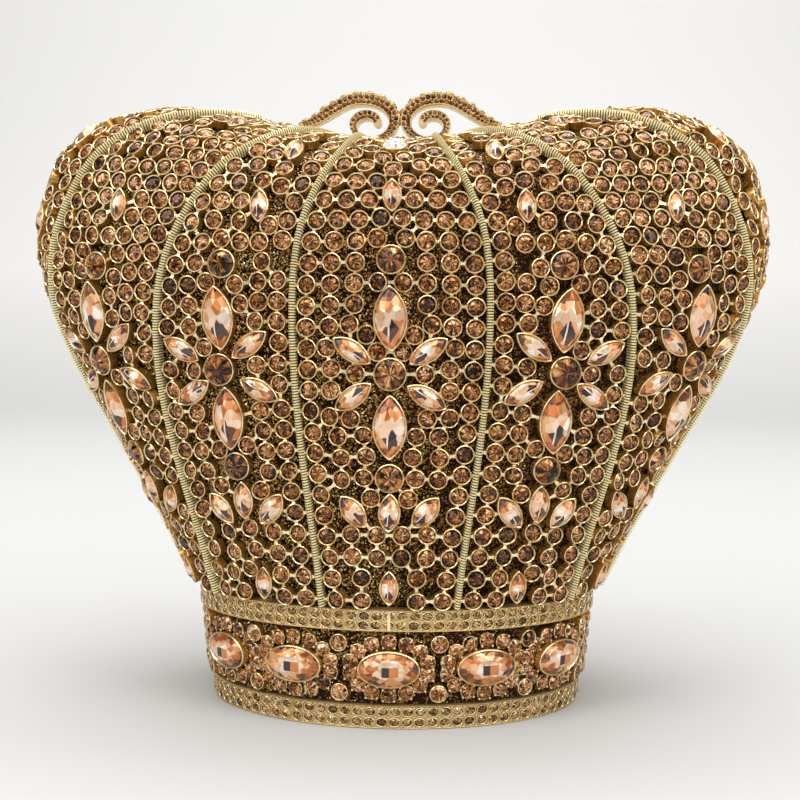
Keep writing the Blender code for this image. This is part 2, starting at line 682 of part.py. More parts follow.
def scroll_size(bearing):
    """Radius of the curl's middle line and half thickness of its strip at a bearing in degrees,
    counted on from the tip."""
    share = (bearing - SCROLL_TIP_BEARING) / SCROLL_TURN
    radius = SCROLL_TOP_RADIUS * smooth_between(SCROLL_RADIUS_SHARES, share)
    return radius, SCROLL_THICKNESS / 2 * smooth_between(SCROLL_WIDTH_SHARES, share)


def scroll_route():
    """Middle line of the left scroll from its tip round to its foot, each point with the
    direction square to it and the strip's half thickness."""
    curl = []
    for i in range(SCROLL_TURN_STEPS + 1):
        bearing = SCROLL_TIP_BEARING + SCROLL_TURN * i / SCROLL_TURN_STEPS
        radius, width = scroll_size(bearing)
        place = Vector((SCROLL_STRETCH * math.cos(math.radians(bearing)), math.sin(math.radians(bearing))))
        curl.append((place * radius, width))
    centre_x = -SEAM_HALF_GAP - max(place.x + width for place, width in curl)
    low_radius, low_half = scroll_size(270)
    centre = Vector((centre_x, ridge_height(centre_x) + JOINT_GAP + low_half + low_radius))
    points = [centre + place for place, _ in curl]
    widths = [width for _, width in curl]
    top = points[-1]
    half = SCROLL_THICKNESS / 2
    foot_x = -SCROLL_FOOT_REACH
    foot = Vector((foot_x, ridge_height(foot_x) + JOINT_GAP + half))
    pull = (top.x - foot.x) * SCROLL_TAIL_PULL_SHARE
    leave = (points[-1] - points[-2]).normalized() * pull
    slope = Vector((-half, ridge_height(foot_x - half) - ridge_height(foot_x))).normalized()
    arrive = (slope + Vector((0, slope.x / 3))).normalized() * pull
    for i in range(1, SCROLL_TAIL_STEPS + 1):
        f = i / SCROLL_TAIL_STEPS
        a, b, c, d = (1 - f) ** 3, 3 * f * (1 - f) ** 2, 3 * f * f * (1 - f), f ** 3
        points.append(top * a + (top + leave) * b + (foot - arrive) * c + foot * d)
        widths.append(half)
    route = []
    for i, point in enumerate(points):
        run = points[min(i + 1, len(points) - 1)] - points[max(i - 1, 0)]
        route.append((point, Vector((run.y, -run.x)).normalized(), widths[i]))
    return route


def clasp_scroll(name, gilt):
    """The left scroll: a strip on edge, rolled into a scroll and carried on the ridge."""
    verts = []
    route = scroll_route()
    for point, square, width in route:
        for aside, y in ((1, -1), (1, 1), (-1, 1), (-1, -1)):
            flat = point + square * (aside * width)
            verts.append(Vector((flat.x, y * SCROLL_DEPTH / 2, flat.y)))
    last = 4 * (len(route) - 1)
    faces = [(3, 2, 1, 0), (last, last + 1, last + 2, last + 3)]
    for i in range(len(route) - 1):
        for k in range(4):
            a, b = 4 * i + k, 4 * i + (k + 1) % 4
            faces.append((a, b, b + 4, a + 4))
    return add_object(name, verts, faces, gilt)


def chain_lug(name, gilt):
    """An eye on a short neck inside the rear rim, right-hand side, flat on one of its facets."""
    low, high = (crown_point(math.pi / 2, row_share(row), RIM_INSET) for row in (LUG_ROW, LUG_ROW + 1))
    seat = (low + high) / 2
    along = (high - low).normalized()
    inward = Vector((-along.z, 0, along.x))
    centre = Vector((seat.x, RIM_DEPTH / 2, seat.z)) + inward * (JOINT_GAP + LUG_NECK + LUG_RADIUS)
    half = LUG_THICKNESS / 2
    rings = []
    for radius in (LUG_RADIUS, LUG_HOLE_RADIUS):
        turns = [2 * math.pi * i / ROUND_SIDES for i in range(ROUND_SIDES)]
        ring = [inward * (radius * math.cos(t)) + along * (radius * math.sin(t)) for t in turns]
        if radius == LUG_RADIUS:
            half_turn = ROUND_SIDES // 2
            for i in (half_turn - 1, half_turn, half_turn + 1):
                ring[i] = along * ring[i].dot(along) - inward * (LUG_RADIUS + LUG_NECK)
        rings.append(ring)
    verts = [centre + p + Vector((0, y, 0)) for y in (-half, half) for ring in rings for p in ring]
    n = ROUND_SIDES
    faces = []
    for i in range(n):
        j = (i + 1) % n
        faces += [(i + n, j + n, j, i), (j + 2 * n, j + 3 * n, i + 3 * n, i + 2 * n),
                  (j, j + 2 * n, i + 2 * n, i), (i + 3 * n, j + 3 * n, j + n, i + n)]
    return add_object(name, verts, faces, gilt)


def empty_at(name, height):
    made = bpy.data.objects.new(name, None)
    made.location = (0, 0, height)
    bpy.context.scene.collection.objects.link(made)
    return made


def carry(piece, holder):
    """Hangs a piece on its half without moving it."""
    piece.parent = holder
    piece.matrix_parent_inverse = Matrix.Translation(-holder.location)


def main():
    for leftover in list(bpy.data.objects):
        bpy.data.objects.remove(leftover)

    gilt = material("gilt", (0.85, 0.66, 0.33), 0.25, 1.0)
    pale_gilt = material("pale_gilt", (0.92, 0.82, 0.56), 0.3, 1.0)
    crystal = material("peach_crystal", (0.85, 0.55, 0.42), 0.05, 0.0)
    lining = material("lining", (0.17, 0.10, 0.05), 0.6, 0.0)

    front = [
        cage("front_cage", gilt),
        liner("front_liner", lining),
        rim("front_rim", gilt),
        row_band("front_upper_band", UPPER_BAND_HALF_WIDTH, UPPER_BAND_HALF_DEPTH,
                 UPPER_BAND_BOTTOM, UPPER_BAND_HEIGHT, pale_gilt),
        base_band("front_base_band", gilt),
        row_band("front_lower_band", LOWER_BAND_HALF_WIDTH, LOWER_BAND_HALF_DEPTH, 0, LOWER_BAND_HEIGHT, pale_gilt),
        bottom_plate("front_bottom_plate", gilt),
    ]
    relieve_at_hinge(front[5], pale_gilt)
    front += [rib(f"front_rib_{i + 1}", pair, pale_gilt) for i, pair in enumerate((-3, -2, -1, 1, 2, 3))]
    front += [oval_crystal(f"front_oval_{i + 1}", bearing, crystal) for i, bearing in enumerate(OVAL_BEARINGS)]
    rear = [add_mirrored(piece, piece.name.replace("front", "rear"), 1) for piece in front]

    front.append(hinge_leaf("front_hinge_leaf", -1, gilt))
    rear.append(hinge_leaf("rear_hinge_leaf", 1, gilt))
    pin = round_bar(-hinge_half_length(), hinge_half_length(), PIN_RADIUS, gilt)
    pin.name = "hinge_pin"
    rear.append(pin)

    front.append(clasp_scroll("clasp_scroll_left", pale_gilt))
    rear.append(add_mirrored(front[-1], "clasp_scroll_right", 0))
    rear.append(chain_lug("chain_lug_right", gilt))
    rear.append(add_mirrored(rear[-1], "chain_lug_left", 0))

    front_half = empty_at("front_half", HINGE_AXIS_HEIGHT)
    rear_half = empty_at("rear_half", 0)
    for piece in front:
        carry(piece, front_half)
    for piece in rear:
        carry(piece, rear_half)


main()
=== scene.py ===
# Crown-shaped evening clutch: its stones, settings and finishes, built round the frame, in
# metres. X runs across the front, the front half lies at -Y, and the table is at zero height.
import functools
from collections import namedtuple
from math import atan2, copysign, cos, hypot, pi, radians, sin, sqrt

import bpy
import numpy as np
from mathutils import Matrix, Vector
from mathutils.kdtree import KDTree


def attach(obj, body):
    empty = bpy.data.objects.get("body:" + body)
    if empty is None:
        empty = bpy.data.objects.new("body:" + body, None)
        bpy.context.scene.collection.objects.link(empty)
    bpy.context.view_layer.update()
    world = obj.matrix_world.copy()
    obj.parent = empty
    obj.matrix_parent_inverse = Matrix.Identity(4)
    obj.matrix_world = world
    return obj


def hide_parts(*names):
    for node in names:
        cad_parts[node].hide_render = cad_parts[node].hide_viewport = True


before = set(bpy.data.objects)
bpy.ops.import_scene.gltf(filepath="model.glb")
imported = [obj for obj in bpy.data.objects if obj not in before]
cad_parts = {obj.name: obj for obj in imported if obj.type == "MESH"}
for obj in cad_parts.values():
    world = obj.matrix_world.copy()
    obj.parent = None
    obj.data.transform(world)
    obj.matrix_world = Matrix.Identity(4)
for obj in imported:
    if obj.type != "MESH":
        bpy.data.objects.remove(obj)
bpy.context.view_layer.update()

MM = 0.001
random = np.random.default_rng(11)

# The frame's own sizes, as the part has them
Band = namedtuple("Band", "name half_width half_depth height wall bottom")
JOINT_GAP = 0.0003
SEAM_HALF_GAP = JOINT_GAP / 2
LOWER_BAND = Band("lower_band", 0.0472, 0.0350, 0.0056, 0.0028, 0)
BASE_BAND_HEIGHT = 0.0172
BASE_BAND_WALL = 0.0016
BASE_BAND_BOTTOM = LOWER_BAND.height + JOINT_GAP
BASE_BAND_TOP = BASE_BAND_BOTTOM + BASE_BAND_HEIGHT
UPPER_BAND = Band("upper_band", 0.0506, 0.0365, 0.0051, 0.0036, BASE_BAND_TOP + JOINT_GAP)
UPPER_BAND_TOP = UPPER_BAND.bottom + UPPER_BAND.height
FOOT = UPPER_BAND_TOP + JOINT_GAP
FOOT_OVERHANG = 0.0012
BELLY_HALF_WIDTH = 0.0920
BELLY_HALF_DEPTH = 0.0390
CROWN_HEIGHT = 0.1196
DIP_DEPTH = 0.0084
RIM_DEPTH = 0.0030
RIM_PROUD = 0.0004
LINER_INSET = 0.0019
LINER_WALL = 0.0010
RIM_INSET = 0.0029
LINER_FLOOR = 0.0029
HINGE_AXIS_HEIGHT = 0.0019
HINGE_RELIEF_RADIUS = 0.0024
LINER_DRAFT = 0.0003
DIP_TOP = FOOT + CROWN_HEIGHT - DIP_DEPTH
HALF_START = RIM_DEPTH + JOINT_GAP
OUTLINE_FOOT_SHARES = (1, 0.80, 0.51, 0.235, 0.04, 0, 0, 0, 0, 0)
OUTLINE_BELLY_SHARES = (0, 0.20, 0.49, 0.765, 0.96, 1, 0.945, 0.818, 0.65, 0.455)
OUTLINE_RISE_SHARES = (0, 0.132, 0.31, 0.475, 0.624, 0.756, 0.893, 0.972, 1, 0.99)
PROFILE_FOOT_SHARES = (1, 0.7, 0.3, 0, 0, 0, 0, 0, 0, 0)
PROFILE_BELLY_SHARES = (0, 0.3, 0.7, 1, 0.99, 0.94, 0.82, 0.62, 0.36, 0)
PROFILE_RISE_SHARES = (0, 0.157, 0.354, 0.551, 0.712, 0.826, 0.915, 0.968, 0.994, 1)
LOBE_SPREAD_POWER = 3.4
RIB_BEARINGS = ((17.6, 16.6, 13.3, 8.6, 10.0), (55.5, 46.0, 34.3, 23.8, 19.5),
                (87.0, 84.5, 66.5, 53.0, 45.0))
RIBS = (-3, -2, -1, 1, 2, 3)
GORE_MIDDLE_SHARE = 0.47
RIB_WIDTH = 0.0017
RIB_HEIGHT = 0.0012
RIB_TOP_SHARE = 0.965
OVAL_BEARINGS = (-56, -28, 0, 28, 56)
SCROLL_DEPTH = 0.0050
SCROLL_THICKNESS = 0.0030
SCROLL_TOP_RADIUS = 0.0064
SCROLL_STRETCH = 1.28
SCROLL_TIP_BEARING = 20
SCROLL_TURN = 430
SCROLL_FOOT_REACH = 0.0255
SCROLL_TAIL_PULL_SHARE = 0.45
SCROLL_TURN_STEPS = 84
SCROLL_TAIL_STEPS = 26
SCROLL_RADIUS_SHARES = (0.26, 0.40, 0.49, 0.53, 0.62, 0.80, 1.0)
SCROLL_WIDTH_SHARES = (0.72, 0.78, 0.76, 0.42, 0.52, 0.94, 1.0)

# Small bezelled stones of the crown, and how they are packed
CHATON_RADIUS = 2.25 * MM
CHATON_WALL = 0.36 * MM
CHATON_TOP = 0.5 * MM
CHATON_FOOT = -1.55 * MM
ROW_PITCH = 4.9 * MM
COLUMN_PITCH = 4.85 * MM
RIB_MARGIN = 3.3 * MM
SEAM_MARGIN = 2.5 * MM
NEAREST_STONES = 4.25 * MM
PARTING_REACH = 4.8 * MM
PARTING_ROUNDS = 6
FILL_PITCH = 1.15 * MM
FILL_DISTANCES = (3.5 * MM, 3.7 * MM, 3.9 * MM)
MOTIF_REACH = 12 * MM
FOOT_OPENNESS = 0.14
OPEN_BELOW = 0.36
BRIDGE_REACH = 6.1 * MM
ROWS_START, ROWS_END = 2.7 * MM, 2.2 * MM
FILL_ROWS = np.linspace(0.02, 0.985, 115)
LEAST_PUSH = 0.02 * MM
PUSH_SHARE = 0.4
LOWEST_SHARE, HIGHEST_SHARE = 0.012, 0.992

# Base: stones round each oval, and columns beside the seam, each how far in front of it and
# at what heights, in millimetres
HALO_STONES = 14
HALO_HALF_LENGTH = 9.15 * MM
HALO_HALF_HEIGHT = 6.3 * MM
SIDE_COLUMNS = ((2.5, (-6.2, -2.1, 2.1, 6.2)), (6.3, (-4.2, 0, 4.2)), (10.1, (-6.2, -2.1, 2.1, 6.2)))

# Milled wires and pavé bands
MILLING_PITCH = 0.64 * MM
MILLING_STEPS = (0, 0.19 * MM, 0.24 * MM, 0.59 * MM)
PAVE_EDGE = 0.38 * MM
PAVE_STONE = (1.26 * MM, 1.02 * MM)
BAND_PITCH = 2.95 * MM

# Motif settings: length and width over the bezel, height of the bezel and of the stone over it
BIG_NAVETTE = (15.0 * MM, 7.9 * MM, 1.15 * MM, 1.5 * MM)
LONG_NAVETTE = (10.4 * MM, 4.8 * MM, 0.95 * MM, 1.1 * MM)
SMALL_NAVETTE = (8.2 * MM, 4.5 * MM, 0.95 * MM, 1.1 * MM)
FAN_NAVETTE = (9.2 * MM, 5.2 * MM, 0.95 * MM, 1.1 * MM)
FLOWER_ROUND = (7.6 * MM, 7.6 * MM, 1.0 * MM, 1.3 * MM)
SMALL_ROUND = (6.7 * MM, 6.7 * MM, 0.9 * MM, 1.2 * MM)
CLEAR_ROUND = (6.4 * MM, 6.4 * MM, 0.9 * MM, 1.2 * MM)

# The motif. Shares of the way up are for the middle gore and for the two beside it, and a
# sidestep is for the gores next to the middle one
PETAL_RADIUS = 0.0100
PETAL_BEARINGS = (33, 147, 210, 330)
FAN_REACHES = (0.0083, 0.0066, 0.0064)
FAN_TILT = 38
FAN_SHARES = (0.140, 0.142, 0.150)
FAN_CENTRE_SHARES = (0.139, 0.152, 0.163)
SEAM_NAVETTE_SHARES = (0.56, 0.72)
FLOWER_SHARES = (0.297, 0.308, 0.330)
FLOWER_SIDESTEP = 0.0010
UPRIGHT_SETTINGS = (
    (SMALL_NAVETTE, (0.765, 0.716, 0.835), 0),
    (SMALL_NAVETTE, (0.584, 0.564, 0.575), -0.0027),
    (SMALL_ROUND, (0.452, 0.455, 0.470), 0.0014),
    (BIG_NAVETTE, (0.366, 0.375, 0.400), FLOWER_SIDESTEP),
    (FLOWER_ROUND, FLOWER_SHARES, FLOWER_SIDESTEP),
    (BIG_NAVETTE, (0.237, 0.249, 0.266), 0),
    (SMALL_ROUND, (0.179, 0.192, 0.205), 0),
    (SMALL_NAVETTE, (0.033, 0.032, 0.033), -0.0013),
)


# Shape of the crown

def smooth_between(values, share):
    """The value at a share of the way along evenly numbered stations, smoothly joined."""
    last = len(values) - 1
    place = min(max(share, 0), 1) * last
    i = min(int(place), last - 1)
    f = place - i
    a, b = values[i], values[i + 1]
    before = values[i - 1] if i > 0 else 2 * a - b
    after = values[i + 2] if i + 2 <= last else 2 * b - a
    bend = 2 * before - 5 * a + 4 * b - after
    return a + f * (b - before + f * (bend + f * (3 * (a - b) + after - before))) / 2


@functools.lru_cache(None)
def outline_at(share):
    """Reach from the middle and height of the crown's outline in the seam plane."""
    reach = smooth_between(OUTLINE_FOOT_SHARES, share) * (UPPER_BAND.half_width + FOOT_OVERHANG)
    reach += smooth_between(OUTLINE_BELLY_SHARES, share) * BELLY_HALF_WIDTH
    return Vector((reach, FOOT + smooth_between(OUTLINE_RISE_SHARES, share) * CROWN_HEIGHT))


@functools.lru_cache(None)
def profile_at(share):
    """Bulge in front of the half's back plane, and height, on the middle line."""
    bulge = smooth_between(PROFILE_FOOT_SHARES, share) * (UPPER_BAND.half_depth - HALF_START)
    bulge += smooth_between(PROFILE_BELLY_SHARES, share) * (BELLY_HALF_DEPTH - HALF_START)
    height = FOOT + smooth_between(PROFILE_RISE_SHARES, share) * (DIP_TOP - FOOT)
    return Vector((max(bulge, 0), height))


def inset_curve(curve, share, inset, ends_upright):
    """A point of the curve moved inward by the inset, square to the curve."""
    step = 0.01
    run = curve(min(share + step, 1)) - curve(max(share - step, 0))
    outward = Vector((run.y, -run.x)).normalized()
    if share <= 0:
        outward = Vector((1 / outward.x, 0))
    elif share >= 1 and ends_upright:
        outward = Vector((0, 1))
    return curve(share) - outward * inset


@functools.lru_cache(None)
def crown_section(share, inset):
    """Reach, its height, bulge, its height: the crown's section at a share of the way up."""
    reach, side_height = inset_curve(outline_at, share, inset, False)
    bulge, middle_height = inset_curve(profile_at, share, inset, True)
    return reach, side_height, max(bulge, 0), middle_height


def crown_point(bearing, share, inset=0.0):
    """A point of the front half's crown at a bearing from the middle line, in radians."""
    reach, side_height, bulge, middle_height = crown_section(share, inset)
    ahead = max(cos(bearing), 0)
    lift = (middle_height - side_height) * ahead ** LOBE_SPREAD_POWER
    return Vector((reach * sin(bearing), -HALF_START - bulge * ahead, side_height + lift))


def crown_frame(bearing, share):
    """Where a point of the crown is, and the directions across, up and out of it there."""
    step = 0.004
    here = crown_point(bearing, share)
    across = crown_point(bearing + step, share) - crown_point(bearing - step, share)
    up = crown_point(bearing, min(share + step, 1)) - crown_point(bearing, max(share - step, 0))
    out = across.cross(up).normalized()
    across.normalize()
    return here, across, out.cross(across), out


def crown_step(bearing, share, across, up):
    """The bearing and share a small distance across and up from a point of the crown."""
    step = 0.01
    here = crown_point(bearing, share)
    per_bearing = (crown_point(bearing + step, share) - here).length / step
    per_share = (crown_point(bearing, share + step) - here).length / step
    return bearing + across / per_bearing, share + up / per_share


def rib_bearing(pair, share):
    """Bearing of a rib, in radians: pair 0 is the middle of the front, pair 1 to 3 the ribs
    and one more the seam."""
    if pair == 0:
        return 0.0
    if abs(pair) > len(RIB_BEARINGS):
        return copysign(pi / 2, pair)
    return copysign(radians(smooth_between(RIB_BEARINGS[abs(pair) - 1], share)), pair)


def gore_sides(gore, share):
    """Bearings of the two ribs that bound a gore. The outer gores end at the seam."""
    if gore == 0:
        return rib_bearing(-1, share), rib_bearing(1, share)
    inner, outer = rib_bearing(abs(gore), share), rib_bearing(abs(gore) + 1, share)
    return (inner, outer) if gore > 0 else (-outer, -inner)


def gore_bearing(gore, share):
    """Bearing of the middle of a gore, where its motif stands."""
    if gore == 0:
        return 0.0
    left, right = gore_sides(abs(gore), share)
    return copysign(left + (right - left) * GORE_MIDDLE_SHARE, gore)


# Places and paths

def placed(here, x, y, z):
    """A matrix that stands a model at a point, with these for its axes."""
    return Matrix.Translation(here) @ Matrix((x, y, z)).transposed().to_4x4()


def seat_matrix(bearing, share, tilt, lift=0.0):
    """A place on the crown: X along the tilt from across, Z out of the surface."""
    here, across, up, out = crown_frame(bearing, share)
    along = across * cos(tilt) + up * sin(tilt)
    return placed(here + out * lift, along, out.cross(along), out)


def run_along(path):
    """How far along a path each of its points is."""
    return np.cumsum([0] + [(q - p).length for p, q in zip(path, path[1:])])


def spot_on(path, run, spot):
    """The point of a path that far along it, and the number of its next corner."""
    i = min(max(int(np.searchsorted(run, spot)), 1), len(path) - 1)
    return path[i - 1].lerp(path[i], (spot - run[i - 1]) / (run[i] - run[i - 1])), i


def tree_of(points):
    tree = KDTree(len(points))
    for i, point in enumerate(points):
        tree.insert(point, i)
    tree.balance()
    return tree


# Shape of the base

def well(height, wall=0.0):
    """Half width and half depth of the well inside the bands at a height, or of a wall round
    it, and the height."""
    sizes = []
    for low, high in zip(LOWER_BAND[1:3], UPPER_BAND[1:3]):
        low, high = low - LOWER_BAND.wall, high - UPPER_BAND.wall
        sizes.append(low + (high - low) * height / UPPER_BAND_TOP + wall)
    return (*sizes, height)


def base_point(bearing, half_width, half_depth, height):
    """A point of the front half's base: half an ellipse in front of a straight run at the seam."""
    bulge = cos(bearing) * (half_depth - HALF_START)
    return Vector((half_width * sin(bearing), -HALF_START - bulge, height))


def base_path(half_width, half_depth, height, steps):
    """Points round the front half's base, from seam to seam."""
    turns = [pi * (i / steps - 0.5) for i in range(steps + 1)]
    ends = [Vector((x, -SEAM_HALF_GAP, height)) for x in (-half_width, half_width)]
    return [ends[0]] + [base_point(turn, half_width, half_depth, height) for turn in turns] + [ends[1]]


def base_strip(section):
    """A strip of metal or ground round the base, from a section's half widths, half depths
    and heights."""
    return loft(list(zip(*(base_path(*corner, 72) for corner in section))))


# Meshes: chunks of points and faces, and the pieces made of them

class Model:
    """A modelled shape, read from its object and dropped, to be set many times. Bridging gives
    its faces in another order on each run, so those of metal are sorted."""

    def __init__(self, made, length=1.0, width=1.0, smooth=False):
        mesh = made.data
        faces = list(mesh.polygons)
        if smooth:
            faces.sort(key=lambda face: sorted(face.vertices))
        self.points = np.array([(*v.co, 1.0) for v in mesh.vertices])
        self.sizes = np.array([f.loop_total for f in faces])
        self.corners = np.array([c for f in faces for c in f.vertices])
        self.uv = self.points[self.corners][:, :2] / (length, width)
        self.painted_light_share = np.array([max(f.normal.z, 0) for f in faces])
        self.smooth = smooth
        bpy.data.objects.remove(made)
        bpy.data.meshes.remove(mesh)

    def set_at(self, places, slot=0):
        """A chunk with a copy at each place. Each has its own shade. A face's tone is a random one on a
        stone, and on metal how far it looks out of the surface, the share of painted light the gilt
        gives it."""
        count, size, faces = len(places), len(self.points), len(self.sizes)
        stacked = np.array([np.array(p) for p in places])
        return {
            "points": np.einsum("kij,nj->kni", stacked, self.points)[:, :, :3].reshape(-1, 3),
            "corners": (self.corners[None] + size * np.arange(count)[:, None]).ravel(),
            "sizes": np.tile(self.sizes, count),
            "uv": np.tile(self.uv, (count, 1)),
            "shade": np.repeat(random.random(count), faces),
            "tone": np.tile(self.painted_light_share, count) if self.smooth else random.random(count * faces),
            "slot": np.full(count * faces, slot),
            "smooth": np.full(count * faces, self.smooth),
        }


def loft(rows):
    """A closed chunk through rows of points, each row a ring and both ends capped."""
    points = np.array([[tuple(p) for p in row] for row in rows])
    count, width = points.shape[:2]
    faces = []
    for r in range(count - 1):
        for c in range(width):
            a, b = r * width + c, r * width + (c + 1) % width
            faces.append((a, b, b + width, a + width))
    faces.append(tuple(reversed(range(width))))
    faces.append(tuple(range((count - 1) * width, count * width)))
    return chunk_of(points.reshape(-1, 3), faces)


def chunk_of(points, faces):
    """A closed chunk from points and faces, turned to face outward."""
    points = np.array(points, float)
    volume = 0.0
    for face in faces:
        first = points[face[0]]
        for b, c in zip(face[1:], face[2:]):
            volume += np.dot(first, np.cross(points[b], points[c]))
    if volume < 0:
        faces = [tuple(reversed(face)) for face in faces]
    sizes = np.array([len(f) for f in faces])
    corners = np.array([c for f in faces for c in f])
    count = len(sizes)
    return {
        "points": points, "corners": corners, "sizes": sizes, "uv": np.zeros((len(corners), 2)),
        "shade": np.full(count, 0.5), "tone": np.full(count, 0.8),
        "slot": np.zeros(count, int), "smooth": np.full(count, True),
    }


def add_piece(name, chunks, finishes, body, replaced=()):
    """One piece of the object from its chunks, riding on a body."""
    starts = np.cumsum([0] + [len(c["points"]) for c in chunks])
    corners = np.concatenate([c["corners"] + start for c, start in zip(chunks, starts)])
    whole = {key: np.concatenate([c[key] for c in chunks]) for key in chunks[0] if key != "corners"}
    mesh = bpy.data.meshes.new(name)
    mesh.vertices.add(len(whole["points"]))
    mesh.vertices.foreach_set("co", whole["points"].ravel())
    mesh.loops.add(len(corners))
    mesh.loops.foreach_set("vertex_index", corners)
    mesh.polygons.add(len(whole["sizes"]))
    mesh.polygons.foreach_set("loop_start", np.cumsum(whole["sizes"]) - whole["sizes"])
    mesh.polygons.foreach_set("material_index", whole["slot"])
    mesh.polygons.foreach_set("use_smooth", whole["smooth"])
    mesh.update(calc_edges=True)
    mesh.uv_layers.new(name="facing")
    mesh.uv_layers["facing"].uv.foreach_set("vector", whole["uv"].ravel())
    for key in ("tone", "shade"):
        mesh.attributes.new(key, "FLOAT", "FACE").data.foreach_set("value", whole[key])
    for finish in finishes:
        mesh.materials.append(finish)
    if whole["smooth"].any():
        mesh.set_sharp_from_angle(angle=radians(38))
    mesh.validate()
    made = bpy.data.objects.new(name, mesh)
    bpy.context.scene.collection.objects.link(made)
    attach(made, body)
    if replaced:
        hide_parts(*replaced)
    return made


def turn_to_rear(chunks):
    """The chunks of a front piece, turned about the middle for the rear half."""
    for c in chunks:
        c["points"] = c["points"] * (-1, -1, 1)


def add_halves(stem, chunks, finishes, replaced=()):
    """The same piece on both halves. The faces of the rear one's stones are shaded anew."""
    add_piece(f"front_{stem}", chunks, finishes, "front_half", [f"front_{n}" for n in replaced])
    turn_to_rear(chunks)
    for c in chunks:
        if not c["smooth"].any():
            c["tone"] = random.permutation(c["tone"])
    add_piece(f"rear_{stem}", chunks, finishes, "rear_half", [f"rear_{n}" for n in replaced])


def bare_object(name, chunk):
    """An object of a chunk's shape alone, for a cut or for the studio."""
    mesh = bpy.data.meshes.new(name)
    ends = np.cumsum(chunk["sizes"])
    faces = [[int(c) for c in chunk["corners"][end - size:end]]
             for end, size in zip(ends, chunk["sizes"])]
    mesh.from_pydata([tuple(p) for p in chunk["points"]], [], faces)
    mesh.shade_smooth()
    mesh.set_sharp_from_angle(angle=radians(38))
    made = bpy.data.objects.new(name, mesh)
    bpy.context.scene.collection.objects.link(made)
    return made


# Models of what repeats, made once

def round_plan(half_length, half_width, pointed=False):
    """The outline of a setting: a function of a turn and an offset outward."""
    """The outline of a setting: a function of a turn and an offset outward."""
    def plan(turn, offset):
        x, y = cos(turn), sin(turn)
        if not pointed:
            return (half_length + offset) * x, (half_width + offset) * y
        narrow = copysign(abs(y) ** 1.65, y)
        return (half_length + 1.3 * offset) * x, (half_width + offset) * narrow
    return plan


def open_primitive(add, **where):
    """Adds a primitive on its own and opens it in edit mode."""
    bpy.ops.object.select_all(action="DESELECT")
    add(**where)
    bpy.ops.object.mode_set(mode="EDIT")


def close_primitive():
    bpy.ops.object.mode_set(mode="OBJECT")
    return bpy.context.object


def bezel(plan, sides, profile):
    """A setting's wall: a circle drawn up through rows, which are then laid on the plan at
    the profile's offsets and heights, and the last row is bridged to the first."""
    open_primitive(bpy.ops.mesh.primitive_circle_add, vertices=sides, radius=1)
    for _ in profile[1:]:
        bpy.ops.mesh.extrude_edges_move(TRANSFORM_OT_translate={"value": (0, 0, 1)})
    bpy.ops.mesh.select_all(action="DESELECT")
    bpy.ops.mesh.select_mode(type="EDGE")
    bpy.ops.mesh.select_non_manifold(extend=False)
    bpy.ops.mesh.bridge_edge_loops()
    made = close_primitive()
    for vert in made.data.vertices:
        offset, height = profile[round(vert.co.z)]
        vert.co = (*plan(atan2(vert.co.y, vert.co.x), offset), height)
    return turn_outward()


def turn_outward():
    bpy.ops.object.mode_set(mode="EDIT")
    bpy.ops.mesh.select_all(action="SELECT")
    bpy.ops.mesh.normals_make_consistent(inside=False)
    return close_primitive()


def cut_stone(plan, rings):
    """A faceted stone: rings of points, each (share of the plan, height, count, turn in steps),
    wrapped in a hull whose flat faces are its facets."""
    for i, (share, height, count, turn) in enumerate(rings):
        spin = 2 * pi * turn / count
        if i == 0:
            open_primitive(bpy.ops.mesh.primitive_circle_add, vertices=count, radius=share)
            bpy.ops.transform.translate(value=(0, 0, height))
            bpy.ops.transform.rotate(value=-spin, orient_axis="Z", center_override=(0, 0, 0))
        else:
            bpy.ops.mesh.primitive_circle_add(vertices=count, radius=share, location=(0, 0, height),
                                              rotation=(0, 0, spin))
    made = close_primitive()
    for vert in made.data.vertices:
        x, y, z = vert.co
        share = hypot(x, y)
        x, y = plan(atan2(y, x), 0)
        vert.co = (x * share, y * share, z)
    bpy.ops.object.mode_set(mode="EDIT")
    bpy.ops.mesh.select_all(action="SELECT")
    bpy.ops.mesh.convex_hull()
    bpy.ops.mesh.dissolve_limited(angle_limit=radians(1.5))
    bpy.ops.object.mode_set(mode="OBJECT")
    return turn_outward()


def bezel_profile(foot, top, wall):
    return ((0, foot), (0, top - 0.4 * wall), (-0.45 * wall, top), (-wall, top - 0.6 * wall))


def wall_model(half_length, half_width, sides, foot, top, wall, pointed=False):
    """A setting's wall, from its outside to its inner edge."""
    plan = round_plan(half_length, half_width, pointed)
    return Model(bezel(plan, sides, bezel_profile(foot, top, wall)), smooth=True)


def stone_model(half_length, half_width, *rings):
    """A round or oval stone. The heights of its rings are in millimetres."""
    rings = [(share, height * MM, count, turn) for share, height, count, turn in rings]
    return Model(cut_stone(round_plan(half_length, half_width), rings), half_length, half_width)


def setting_models(kind):
    """The bezel and the stone of a motif setting."""
    length, width, top, crown = kind
    pointed = length > width
    wall = 0.42 * MM
    metal = wall_model(length / 2, width / 2, 24 if pointed else 22, CHATON_FOOT, top, wall, pointed)
    inner = round_plan(length / 2 - wall * (1.4 if pointed else 1), width / 2 - wall, pointed)
    girdle = top - 0.35 * MM
    bevel, table, below = (0.76, (0.42, 6, 0.5), 2.2) if pointed else (0.8, (0.55, 8, 0), 2.0)
    rings = ((1, girdle, 16, 0), (bevel, girdle + crown * 0.55, 8, 0.5),
             (table[0], girdle + crown, *table[1:]), (0.1, girdle - below * MM, 6, 0))
    return metal, Model(cut_stone(inner, rings), length / 2, width / 2)


def bead_model(radius):
    open_primitive(bpy.ops.mesh.primitive_uv_sphere_add, segments=8, ring_count=4, radius=radius)
    return Model(close_primitive(), smooth=True)


